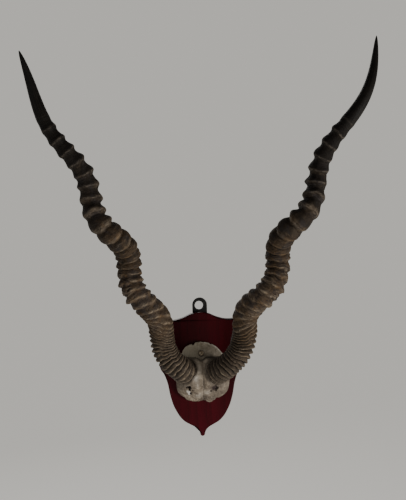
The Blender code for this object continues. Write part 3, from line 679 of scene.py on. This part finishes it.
def cap_mesh(made):
    """The bone as a fine sheet of columns, closed by its sawn edge and a flat back."""
    x, z = cap_grid()
    relief, dark, hole, white = bone_details(x, z)
    inside = 1.0 - ease(0.90, 1.0, cap_share(x, z))
    height = np.maximum(cap_height(x, z) + relief * (0.25 + 0.75 * inside), CAP_LEAST_HEIGHT)
    back_y = -SHIELD_THICKNESS - GAP
    flat = np.stack([x, back_y - height, z], axis=-1).reshape(-1, 3)
    index = np.arange(x.size).reshape(x.shape)
    faces = quads(index[:-1, :-1], index[1:, :-1], index[1:, 1:], index[:-1, 1:])

    rim = np.concatenate([index[:, 0], index[-1, 1:-1], index[::-1, -1], index[0, -2:0:-1]])
    edge = flat[rim]
    outward = (edge - np.array([CAP_MIDDLE[0], 0.0, CAP_MIDDLE[1]])) * (1.0, 0.0, 1.0)
    outward /= np.linalg.norm(outward, axis=1)[:, None]
    vertices = flat
    outer = rim
    for share, inset in CAP_WALLS:
        wall = edge - outward * inset
        wall[:, 1] = back_y + (edge[:, 1] - back_y) * share
        inner = len(vertices) + np.arange(len(rim))
        faces += quads(np.roll(outer, -1), outer, inner, np.roll(inner, -1))
        vertices = np.concatenate([vertices, wall])
        outer = inner
    faces.append(outer.tolist())

    near, sheath = horn_nearness(flat)
    crown = ease(0.0, 0.003, z - step_height(x))
    bridge = bell(x - SEAM_X, 0.014) * ease(-0.014, 0.008, z)
    values = {"dark": dark, "hole": hole, "flake": white, "near_horn": near, "sheath": sheath,
              "bridge": bridge}
    on_walls = np.zeros(len(vertices) - len(flat))
    values = {key: np.append(numbers, on_walls) for key, numbers in values.items()}
    values["crown"] = np.append(crown, on_walls + 0.5)
    return mesh_from_arrays("skull_cap_surface", vertices, faces, made, values)


def hanger_mesh(name, loops):
    """The hanging plate, drawn from its outline and hole, with its front and back edges rounded."""
    curve = bpy.data.curves.new(name, "CURVE")
    curve.dimensions = "2D"
    curve.fill_mode = "BOTH"
    curve.extrude = HANGER_THICKNESS / 2
    for loop in loops:
        spline = curve.splines.new("POLY")
        spline.points.add(len(loop) - 1)
        for point, (x, z) in zip(spline.points, loop):
            point.co = (x, z, 0.0, 1.0)
        spline.use_cyclic_u = True
    drawn = add_object(name + "_outline", curve)
    bpy.context.view_layer.update()
    mesh = bpy.data.meshes.new_from_object(drawn.evaluated_get(bpy.context.evaluated_depsgraph_get()))
    bpy.data.objects.remove(drawn)
    shape = bmesh.new()
    shape.from_mesh(mesh)
    bmesh.ops.remove_doubles(shape, verts=shape.verts, dist=1e-6)
    bmesh.ops.dissolve_limit(shape, angle_limit=math.radians(0.5), verts=shape.verts, edges=shape.edges)
    shape.normal_update()
    for sense in (1.0, -1.0):
        rim = [edge for edge in shape.edges if any(face.normal.z * sense > 0.9 for face in edge.link_faces)
               and any(abs(face.normal.z) < 0.5 for face in edge.link_faces)]
        bmesh.ops.bevel(shape, geom=rim, offset=HANGER_EDGE_ROUND, segments=2, profile=0.5, affect="EDGES")
        shape.normal_update()
    for vert in shape.verts:
        vert.co = Vector((vert.co.x, -HANGER_THICKNESS / 2 - GAP - vert.co.z, vert.co.y))
    bmesh.ops.recalc_face_normals(shape, faces=shape.faces)
    # The rounding leaves the faces in chance order, so they are sorted by their three lowest corners
    shape.verts.index_update()
    count = len(shape.verts)
    shape.faces.sort(key=lambda face: np.polyval(sorted(vert.index for vert in face.verts)[:3], count))
    shape.to_mesh(mesh)
    shape.free()
    mesh.name = name
    return mesh


def plate_mesh(name, loop, profile):
    """A flat plate: its outline drawn in by each inset at each depth, from the back to the front."""
    line = np.array(loop)
    after = np.roll(line, -1, axis=0)
    forward = after - line
    twice_area = float(np.sum(line[:, 0] * after[:, 1] - after[:, 0] * line[:, 1]))
    inward = np.stack([-forward[:, 1], forward[:, 0]], axis=1) * math.copysign(1.0, twice_area)
    inward /= np.linalg.norm(inward, axis=1)[:, None]
    middle = inward + np.roll(inward, 1, axis=0)
    middle /= np.linalg.norm(middle, axis=1)[:, None]
    middle /= np.maximum(np.sum(middle * inward, axis=1), 0.5)[:, None]
    shape = bmesh.new()
    rings = [[shape.verts.new((x, y, z)) for x, z in line + middle * inset] for inset, y in profile]
    join_rings(shape, rings)
    ends = [shape.faces.new(rings[0]), shape.faces.new(rings[-1])]
    bmesh.ops.triangulate(shape, faces=ends)
    bmesh.ops.recalc_face_normals(shape, faces=shape.faces)
    return mesh_of(shape, name)


def join_rings(shape, rings):
    """Faces between each two rings of points, three-cornered where a ring is a single point."""
    for one, other in zip(rings, rings[1:]):
        for step in range(len(one)):
            after = (step + 1) % len(one)
            corners = dict.fromkeys((one[step], one[after], other[after], other[step]))
            if len(corners) > 2:
                shape.faces.new(list(corners))


def turned_mesh(name, profile, steps):
    """A solid of revolution about its own Z, closed at both ends on the axis."""
    shape = bmesh.new()
    rings = []
    for radius, height in profile:
        if radius:
            ring = [shape.verts.new((x, y, height)) for x, y in circle_loop((0.0, 0.0), radius, steps)]
        else:
            ring = [shape.verts.new((0.0, 0.0, height))] * steps
        rings.append(ring)
    join_rings(shape, rings)
    bmesh.ops.recalc_face_normals(shape, faces=shape.faces)
    return mesh_of(shape, name)


def rounded_profile(back, front, back_edge, front_edge, steps):
    """Insets and depths for a plate with its back and front edges rounded."""
    quarter = [math.pi / 2 * step / steps for step in range(steps + 1)]
    rear = [(back_edge * (1 - math.sin(a)), back - back_edge * (1 - math.cos(a))) for a in quarter]
    face = [(front_edge * (1 - math.cos(a)), front + front_edge * (1 - math.sin(a))) for a in quarter]
    return rear + face


def circle_loop(middle, radius, steps, start=0.0, sweep=math.tau):
    count = steps if sweep >= math.tau else steps + 1
    angles = [start + sweep * step / steps for step in range(count)]
    return [(middle[0] + radius * math.cos(a), middle[1] + radius * math.sin(a)) for a in angles]


def hanger_loop(extra):
    radius = HANGER_RADIUS + extra
    corner = radius * HANGER_CORNER_SHARE
    foot_z = HANGER_FOOT_Z - extra + corner
    inset = radius - corner
    x = HANGER_MIDDLE[0]
    return (circle_loop(HANGER_MIDDLE, radius, 48, 0.0, math.pi)
            + circle_loop((x - inset, foot_z), corner, 12, math.pi, math.pi / 2)
            + circle_loop((x + inset, foot_z), corner, 12, -math.pi / 2, math.pi / 2))


def shield_loop():
    top = smooth_line(mirrored(SHIELD_TOP), 12)
    side = smooth_line(SHIELD_SIDE, 12)[1:-1]
    foot = smooth_line(mirrored(SHIELD_FOOT), 8)[::-1]
    return np.concatenate([top, side, foot, side[::-1] * (-1.0, 1.0)])


def cut_away(piece, cutters):
    """Cuts the pieces away for good and removes them."""
    for number, cutter in enumerate(cutters):
        modifier = piece.modifiers.new(f"cut_{number}", "BOOLEAN")
        modifier.operation = "DIFFERENCE"
        modifier.solver = "EXACT"
        modifier.object = cutter
    bpy.context.view_layer.update()
    shaped = bpy.data.meshes.new_from_object(piece.evaluated_get(bpy.context.evaluated_depsgraph_get()))
    piece.modifiers.clear()
    piece.data = shaped
    for cutter in cutters:
        bpy.data.objects.remove(cutter)


def slot_cutter(head_radius, slot, turn, z):
    """A bar that cuts a screw's slot, a width and a depth, across its head."""
    shape = bmesh.new()
    bmesh.ops.create_cube(shape, size=1.0)
    bmesh.ops.scale(shape, vec=(head_radius * 3, *slot), verts=shape.verts)
    cutter = add_object("slot", mesh_of(shape, "slot"))
    cutter.rotation_euler = (0.0, 0.0, turn)
    cutter.location = (0.0, 0.0, z)
    return cutter


def dome_profile(size):
    head_radius, head_height, shank_radius, shank_length = size
    points = [(0.0, head_height)]
    for step in range(1, 9):
        angle = math.radians(90 - 80 * step / 8)
        points.append((head_radius * 0.985 * math.cos(angle), head_height * (0.35 + 0.65 * math.sin(angle))))
    points += [(head_radius, head_height * 0.30), (head_radius, 0.0), (shank_radius, 0.0)]
    return points + [(shank_radius, -shank_length + shank_radius * 2), (0.0, -shank_length)]


def flat_profile(size):
    head_radius, head_height, shank_radius, shank_length = size
    tail = -head_height - shank_length
    return [(0.0, 0.0), (head_radius * 0.93, 0.0), (head_radius, -0.00015), (shank_radius, -head_height),
            (shank_radius, tail + shank_radius * 2), (0.0, tail)]


def sink_profile():
    head_radius, head_height, shank_radius, _ = HANGER_SCREW
    wide = head_radius + SINK_CLEARANCE
    narrow = shank_radius + SINK_CLEARANCE
    return [(0.0, CUT_BEYOND), (wide, CUT_BEYOND), (wide, 0.0), (narrow, -head_height), (narrow, -SINK_DEPTH),
            (0.0, -SINK_DEPTH)]


def put(piece, tilt, place):
    piece.rotation_euler = (math.radians(tilt), 0.0, 0.0)
    piece.location = place


def finish_piece(piece, made, node):
    """Smooth shading, crisp where the surface turns sharply and round every flat face, then one material."""
    piece.data.materials.clear()
    piece.data.materials.append(made)
    piece.data.shade_smooth()
    shape = bmesh.new()
    shape.from_mesh(piece.data)
    shape.normal_update()
    bmesh.ops.triangulate(shape, faces=[face for face in shape.faces if len(face.verts) > 4])
    shape.normal_update()
    for edge in shape.edges:
        if len(edge.link_faces) == 2:
            one, other = (face.normal for face in edge.link_faces)
            flat = (abs(one.y) > 0.99999) + (abs(other.y) > 0.99999)
            edge.smooth = one.angle(other, 0.0) < math.radians(35) and flat != 1
    shape.to_mesh(piece.data)
    shape.free()
    hand_over(piece, node)


def build_shield(wood, steel):
    edges = rounded_profile(0.0, -SHIELD_THICKNESS, SHIELD_BACK_ROUND, SHIELD_EDGE_ROUND, 5)
    board = add_object("shield_board", plate_mesh("shield_board", shield_loop(), edges))
    ends = ((0.0, CUT_BEYOND), (0.0, -HANGER_THICKNESS - 2 * GAP))
    cut_away(board, [add_object("pocket", plate_mesh("pocket", hanger_loop(GAP), ends))])
    finish_piece(board, wood, "plaque")
    hole = circle_loop(HANGER_HOLE, HANGER_HOLE_RADIUS, 64)
    plate = add_object("hanging_plate", hanger_mesh("hanging_plate", [hanger_loop(0.0), hole]))
    sinks = []
    for _, z, _ in HANGER_SCREWS:
        sinks.append(add_object("sink", turned_mesh("sink", sink_profile(), HANGER_SCREW_SIDES)))
        put(sinks[-1], -90, (HANGER_MIDDLE[0], -GAP, z))
    cut_away(plate, sinks)
    finish_piece(plate, steel, "hanger")


def build_screws(made):
    x, z = CROWN_SCREW_PLACE
    name = "crown_screw_slotted"
    screw = add_object(name, turned_mesh(name, dome_profile(CROWN_SCREW), CROWN_SCREW_SIDES))
    cut_away(screw, [slot_cutter(CROWN_SCREW[0], CROWN_SLOT, 0.0, CROWN_SCREW[1])])
    screw.data.transform(Matrix.Rotation(CROWN_SLOT_TURN, 4, "Z"))
    put(screw, 90, (x, -SHIELD_THICKNESS - CROWN_SCREW_SEAT, z))
    finish_piece(screw, made, "crown_screw")
    for node, z, turn in HANGER_SCREWS:
        mesh = turned_mesh(node, flat_profile(HANGER_SCREW), HANGER_SCREW_SIDES)
        screw = add_object(node + "_slotted", mesh)
        cut_away(screw, [slot_cutter(HANGER_SCREW[0], HANGER_SLOT, turn, 0.0)])
        put(screw, -90, (HANGER_MIDDLE[0], -GAP, z))
        finish_piece(screw, made, node)


class Look:
    """Builds one material's nodes. Its colour grows by coats, each laid over what is there."""

    def __init__(self, name, colour=None):
        self.material = bpy.data.materials.new(name)
        self.material.use_nodes = True
        self.tree = self.material.node_tree
        self.shader = self.tree.nodes["Principled BSDF"]
        self.place = self.node("TexCoord").outputs["Object"]
        self.colour = colour

    def feed(self, socket, value):
        if isinstance(value, bpy.types.NodeSocket):
            self.tree.links.new(value, socket)
        elif socket.type == "RGBA":
            socket.default_value = (*value, 1.0)
        else:
            socket.default_value = value

    def fill(self, node, values):
        """Sets a node up. Names in lower case are its settings, the others its inputs."""
        for key, value in values.items():
            if key.islower():
                setattr(node, key, value)
            else:
                self.feed(node.inputs[key.replace("_", " ")], value)
        return node

    def node(self, kind, **values):
        return self.fill(self.tree.nodes.new("ShaderNode" + kind), values)

    def kept(self, name):
        """A number kept at the mesh's points."""
        return self.node("Attribute", attribute_name=name).outputs["Fac"]

    def maths(self, operation, *values):
        made = self.node("Math", operation=operation)
        for socket, value in zip(made.inputs, values):
            self.feed(socket, value)
        return made.outputs[0]

    def times(self, product, *others):
        for other in others:
            product = self.maths("MULTIPLY", product, other)
        return product

    def stretch(self, *scale):
        """The place, scaled along each axis."""
        made = self.node("VectorMath", operation="MULTIPLY")
        self.feed(made.inputs[0], self.place)
        self.feed(made.inputs[1], scale)
        return made.outputs[0]

    def noise(self, scale, detail, roughness, distortion=0.0, at=None):
        return self.node("TexNoise", Vector=self.place if at is None else at, Scale=scale, Detail=detail,
                         Roughness=roughness, Distortion=distortion).outputs["Fac"]

    def spread(self, value, low, high, to_low=0.0, to_high=1.0):
        """A smooth change from one number at low to another at high."""
        return self.node("MapRange", interpolation_type="SMOOTHSTEP", Value=value, From_Min=low,
                         From_Max=high, To_Min=to_low, To_Max=to_high).outputs["Result"]

    def span(self, value, starts, full, ends, gone):
        """A smooth rise from 0 to 1 and further on a smooth fall."""
        return self.times(self.spread(value, starts, full), self.spread(value, gone, ends))

    def ramp(self, value, *stops):
        made = self.node("ValToRGB", Fac=value)
        elements = made.color_ramp.elements
        while len(elements) < len(stops):
            elements.new(0.5)
        for element, (place, *colour) in zip(elements, stops):
            element.position = place
            element.color = (*colour, 1.0)
        return made.outputs["Color"]

    def mix(self, factor, first, second):
        made = self.node("Mix", data_type="RGBA")
        for number, value in ((0, factor), (6, first), (7, second)):
            self.feed(made.inputs[number], value)
        return made.outputs[2]

    def coat(self, colour, *factors):
        """Lays a colour over what is there, as far as the product of the factors says."""
        self.colour = self.mix(self.times(*factors), self.colour, colour)

    def bumps(self, *layers):
        """A normal bent by heights, each with its distance and strength."""
        normal = None
        for height, distance, strength in layers:
            made = self.node("Bump", Height=height, Distance=distance, Strength=strength)
            if normal is not None:
                self.feed(made.inputs["Normal"], normal)
            normal = made.outputs["Normal"]
        return normal

    def finish(self, **values):
        self.fill(self.shader, {"Base_Color": self.colour, **values})
        return self.material


def horn_look():
    look = Look("ringed_horn")
    coat, spread, span, noise, times = look.coat, look.spread, look.span, look.noise, look.times
    run, groove, rim, painted_lee_shade = map(look.kept, ("run", "groove", "rim", "painted_lee_shade"))
    turn_x, turn_y = map(look.kept, ("turn_x", "turn_y"))
    share = look.maths("DIVIDE", run, 0.58)

    def wrapped(along, around, *settings):
        """Noise that runs along the horn and closes round it."""
        at = look.node("CombineXYZ", X=times(run, along), Y=times(turn_x, around), Z=times(turn_y, around))
        return noise(1.0, *settings, at=at.outputs[0])

    fibres = wrapped(22.0, 13.0, 5.0, 0.6)
    wrinkles = wrapped(520.0, 2.4, 5.0, 0.6, 0.4)
    creases = wrapped(980.0, 5.0, 3.0, 0.6, 0.8)
    patches = noise(55.0, 3.0, 0.5)
    broken = noise(150.0, 3.0, 0.6)
    fine = noise(900.0, 3.0, 0.6)
    blotches = noise(110.0, 4.0, 0.6)
    clouds = noise(78.0, 3.0, 0.55, 0.5)
    ringed = spread(share, 0.78, 0.86, 1.0, 0.0)

    # Brown at the base, nearly black at the tip, in patches and blotches
    look.colour = look.ramp(share, (0.00, 0.078, 0.058, 0.041), (0.14, 0.082, 0.058, 0.038),
                            (0.24, 0.076, 0.0480, 0.0275), (0.35, 0.070, 0.048, 0.033),
                            (0.46, 0.052, 0.034, 0.0195), (0.55, 0.0262, 0.0180, 0.0115),
                            (0.70, 0.0105, 0.0076, 0.0054), (0.82, 0.0050, 0.0041, 0.0034),
                            (1.0, 0.0022, 0.0020, 0.0019))
    coat(look.ramp(share, (0.0, 0.062, 0.050, 0.040), (0.24, 0.066, 0.045, 0.027),
                   (0.45, 0.047, 0.031, 0.018), (0.75, 0.0135, 0.0118, 0.0098), (1.0, 0.005, 0.005, 0.005)),
         spread(patches, 0.35, 0.70, 0.0, 0.60))
    coat(look.mix(spread(share, 0.5, 0.7), (0.019, 0.013, 0.008), (0.0035, 0.0033, 0.0034)),
         spread(blotches, 0.50, 0.36), spread(share, 0.36, 0.46, 0.25, 0.75))

    # Pale fibres, frayed at the root, and warmer, cooler, smoky and dusty areas
    coat((0.165, 0.138, 0.108), spread(fibres, 0.46, 0.66), spread(share, 0.0, 0.8, 0.34, 0.06))
    coat((0.230, 0.185, 0.135), spread(run, 0.016, 0.004), spread(fibres, 0.44, 0.60), 0.7)
    coat((0.098, 0.055, 0.024), span(share, 0.14, 0.24, 0.44, 0.62), spread(patches, 0.38, 0.58), 0.50)
    coat((0.072, 0.055, 0.047), span(share, 0.25, 0.30, 0.38, 0.43), spread(broken, 0.40, 0.60, 0.0, 0.5))
    clouded = span(share, 0.20, 0.28, 0.64, 0.74)
    coat((0.040, 0.034, 0.034), clouded, spread(clouds, 0.50, 0.62, 0.0, 0.60))
    coat((0.118, 0.090, 0.062), clouded, spread(clouds, 0.48, 0.36, 0.0, 0.30))

    # Rims rubbed pale and partly lit with a painted highlight, and ochre in places
    pale = look.mix(spread(share, 0.30, 0.66), (0.310, 0.245, 0.172), (0.115, 0.096, 0.078))
    ochre = times(spread(patches, 0.45, 0.65), spread(share, 0.62, 0.40), spread(share, 0.08, 0.20, 0.3, 1.0))
    wear_and_highlight = times(spread(wrinkles, 0.35, 0.65, 0.10, 1.0), ringed, spread(broken, 0.34, 0.58, 0.35, 1.0))
    coat(look.mix(ochre, pale, (0.175, 0.105, 0.045)), rim, wear_and_highlight, 0.92)

    # Painted shade on each ring's side towards the tip, in the hollows of wrinkles and creases, and in the
    # grooves
    coat((0.009, 0.007, 0.006), painted_lee_shade, spread(share, 0.25, 0.70, 0.15, 0.60))
    coat((0.012, 0.0085, 0.006), spread(wrinkles, 0.50, 0.30, 0.0, 0.66))
    coat((0.013, 0.0095, 0.007), spread(creases, 0.44, 0.34), spread(share, 0.62, 0.44, 0.0, 0.70))
    coat((0.007, 0.0045, 0.003), groove, spread(share, 0.28, 0.50, 0.95, 0.45),
         spread(broken, 0.30, 0.55, 0.60, 1.0))

    normal = look.bumps((fine, 0.00012, 0.6), (fibres, 0.0006, 0.8), (times(creases, ringed), 0.0006, 0.8),
                        (times(wrinkles, ringed), 0.0013, 0.9))
    rough = look.maths("ADD", spread(share, 0.70, 0.90, 0.62, 0.34), times(fine, 0.12))
    return look.finish(Roughness=rough, Normal=normal,
                       Specular_IOR_Level=spread(share, 0.30, 0.88, 0.19, 0.12))


def bone_look():
    look = Look("old_bone")
    coat, spread, noise = look.coat, look.spread, look.noise
    crown, sheath = look.kept("crown"), look.kept("sheath")
    across = look.node("SeparateXYZ", Vector=look.place).outputs[0]
    broad = noise(60.0, 5.0, 0.65, 0.4)
    stains = noise(150.0, 4.0, 0.6, 0.6)
    grain = noise(260.0, 5.0, 0.65, at=look.stretch(1.0, 1.0, 0.6))
    pores = noise(1400.0, 2.0, 0.5)
    flecks = noise(430.0, 3.0, 0.6, 0.5)
    streaks = noise(1.0, 4.0, 0.6, 0.4, look.stretch(900.0, 200.0, 90.0))

    # Old bone in broad patches, stained, with a grain and with pale and dark flecks
    look.colour = look.ramp(broad, (0.34, 0.070, 0.050, 0.033), (0.47, 0.166, 0.127, 0.088),
                            (0.58, 0.262, 0.212, 0.158), (0.72, 0.460, 0.392, 0.308))
    coat((0.105, 0.078, 0.055), spread(stains, 0.52, 0.72, 0.0, 0.55))
    coat((0.12, 0.092, 0.066), spread(grain, 0.55, 0.75, 0.0, 0.45))
    coat((0.600, 0.520, 0.410), spread(flecks, 0.53, 0.66, 0.0, 0.30))
    coat((0.085, 0.062, 0.044), spread(flecks, 0.44, 0.32, 0.0, 0.34))

    # The yellower crown, darker bone round the horns, a lighter bridge between them, and more flecks
    coat(look.mix(spread(stains, 0.35, 0.65), (0.232, 0.190, 0.122), (0.460, 0.408, 0.312)), crown, 0.75)
    coat((0.060, 0.044, 0.032), look.kept("near_horn"), spread(stains, 0.30, 0.60, 0.85, 0.35))
    coat((0.560, 0.470, 0.355), look.kept("bridge"), look.maths("SUBTRACT", 1.0, crown), 0.70)
    coat((0.620, 0.540, 0.430), spread(flecks, 0.53, 0.66, 0.0, 0.24))
    coat((0.120, 0.090, 0.062), spread(flecks, 0.45, 0.33, 0.0, 0.34))

    # Painted shade greys the bone towards the right, which is also greyer at both sides, and painted shade
    # and light make the crown darker on the right and lighter on the left
    coat((0.095, 0.076, 0.062), spread(across, 0.002, 0.018), spread(broad, 0.70, 0.40, 0.2, 0.5))
    coat((0.100, 0.078, 0.058), spread(look.maths("ABSOLUTE", across), 0.018, 0.034), 0.35)
    coat((0.098, 0.080, 0.056), crown, spread(across, -0.012, 0.022), 0.82)
    coat((0.600, 0.530, 0.400), crown, spread(across, 0.004, -0.020), 0.75)

    # The horns' frayed sheath, bare white bone, and everything dark or holed, with the painted shade that the
    # dark and the holes carry
    coat((0.100, 0.076, 0.055), sheath, spread(streaks, 0.36, 0.58, 1.0, 0.45))
    coat((0.78, 0.74, 0.68), look.kept("flake"))
    coat((0.024, 0.015, 0.010), look.kept("dark"), 0.92)
    coat((0.023, 0.010, 0.009), look.kept("hole"), 0.96)
    normal = look.bumps((pores, 0.00016, 0.7), (grain, 0.0005, 0.7),
                        (look.times(sheath, streaks), 0.0012, 0.8))
    return look.finish(Roughness=spread(grain, 0.3, 0.7, 0.62, 0.82), Normal=normal)


def wood_look():
    look = Look("red_stained_wood")
    warped = look.noise(1.0, 3.0, 0.5, 0.6, look.stretch(9.0, 9.0, 2.2))
    rings = look.node("TexWave", wave_type="BANDS", bands_direction="X", wave_profile="SAW",
                      Vector=look.stretch(1.0, 1.0, 0.10), Scale=17.0, Distortion=9.0, Detail=3.0,
                      Detail_Scale=1.2).outputs["Fac"]
    pores = look.noise(1.0, 2.0, 0.5, at=look.stretch(1400.0, 1400.0, 40.0))
    look.colour = look.ramp(warped, (0.35, 0.027, 0.0009, 0.0022), (0.65, 0.064, 0.0013, 0.0056))
    look.coat((0.018, 0.0010, 0.0016), look.spread(rings, 0.25, 1.0, 0.0, 0.28))
    look.coat((0.012, 0.002, 0.002), look.spread(pores, 0.58, 0.72, 0.0, 0.6))
    normal = look.bumps((pores, 0.00006, 0.5))
    return look.finish(Roughness=look.spread(warped, 0.3, 0.7, 0.34, 0.46), Normal=normal,
                       Specular_IOR_Level=0.09, Coat_Weight=0.04, Coat_Roughness=0.40)


def steel_look():
    look = Look("blackened_plate", (0.007, 0.0066, 0.0063))
    wear = look.noise(220.0, 4.0, 0.6)
    look.coat((0.032, 0.028, 0.025), look.spread(wear, 0.55, 0.72, 0.0, 0.5))
    normal = look.bumps((look.noise(2500.0, 2.0, 0.5), 0.00003, 0.6))
    return look.finish(Roughness=look.spread(wear, 0.35, 0.7, 0.36, 0.58), Normal=normal,
                       Specular_IOR_Level=0.30)


def screw_look():
    look = Look("aged_screw_steel")
    rust = look.noise(480.0, 5.0, 0.65)
    look.colour = look.ramp(rust, (0.40, 0.46, 0.39, 0.28), (0.55, 0.26, 0.19, 0.115),
                            (0.72, 0.085, 0.048, 0.025))
    normal = look.bumps((look.noise(3000.0, 2.0, 0.5), 0.00005, 0.8))
    return look.finish(Roughness=look.spread(rust, 0.35, 0.65, 0.30, 0.60), Normal=normal, Metallic=0.55)


def build_camera():
    camera = add_object("camera", bpy.data.cameras.new("camera"))
    camera.location = EYE
    camera.rotation_euler = (math.radians(90), VIEW_ROLL, VIEW_TURN)
    camera.data.sensor_fit = "VERTICAL"
    camera.data.sensor_height = SENSOR_HEIGHT
    camera.data.lens = LENS
    camera.data.clip_start, camera.data.clip_end = VIEW_RANGE
    bpy.context.scene.camera = camera


def build_studio():
    """A pale backdrop and floor, with the main lamp low on the right as in the photograph."""
    world = bpy.data.worlds.new("studio")
    bpy.context.scene.world = world
    world.use_nodes = True
    tree = world.node_tree
    soft = tree.nodes["Background"]
    backdrop = tree.nodes.new("ShaderNodeBackground")
    for light, colour, strength in ((soft, SOFT_COLOUR, SOFT_LIGHT), (backdrop, BACKDROP_COLOUR, BACKDROP)):
        light.inputs["Color"].default_value = (*colour, 1.0)
        light.inputs["Strength"].default_value = strength
    seen = tree.nodes.new("ShaderNodeLightPath")
    both = tree.nodes.new("ShaderNodeMixShader")
    tree.links.new(seen.outputs["Is Camera Ray"], both.inputs["Fac"])
    tree.links.new(soft.outputs["Background"], both.inputs[1])
    tree.links.new(backdrop.outputs["Background"], both.inputs[2])
    tree.links.new(both.outputs["Shader"], tree.nodes["World Output"].inputs["Surface"])
    for name, place, target, width, watts, colour in LAMPS:
        light = bpy.data.lights.new(name, "AREA")
        light.shape = "DISK"
        light.size = width
        light.energy = watts
        light.color = colour
        lamp = add_object(name, light)
        lamp.location = place
        lamp.rotation_euler = (Vector(target) - Vector(place)).to_track_quat("-Z", "Y").to_euler()
    shape = bmesh.new()
    bmesh.ops.create_grid(shape, x_segments=1, y_segments=1, size=FLOOR_HALF_WIDTH)
    floor = add_object("floor", mesh_of(shape, "floor"))
    floor.location = (0.0, 0.0, FLOOR_Z)
    floor.data.materials.append(Look("floor", FLOOR_COLOUR).finish(
        Roughness=1.0, Specular_IOR_Level=0.0, Emission_Color=BACKDROP_COLOUR,
        Emission_Strength=BACKDROP - 0.5 * SOFT_LIGHT))


def main():
    build_camera()
    build_studio()
    horn_material = horn_look()
    for node in HORNS:
        hand_over(add_object(node + "_ringed", horn_mesh(node, horn_material)), node)
    hand_over(add_object("skull_bone", cap_mesh(bone_look())), "skull_cap")
    build_shield(wood_look(), steel_look())
    build_screws(screw_look())


main()
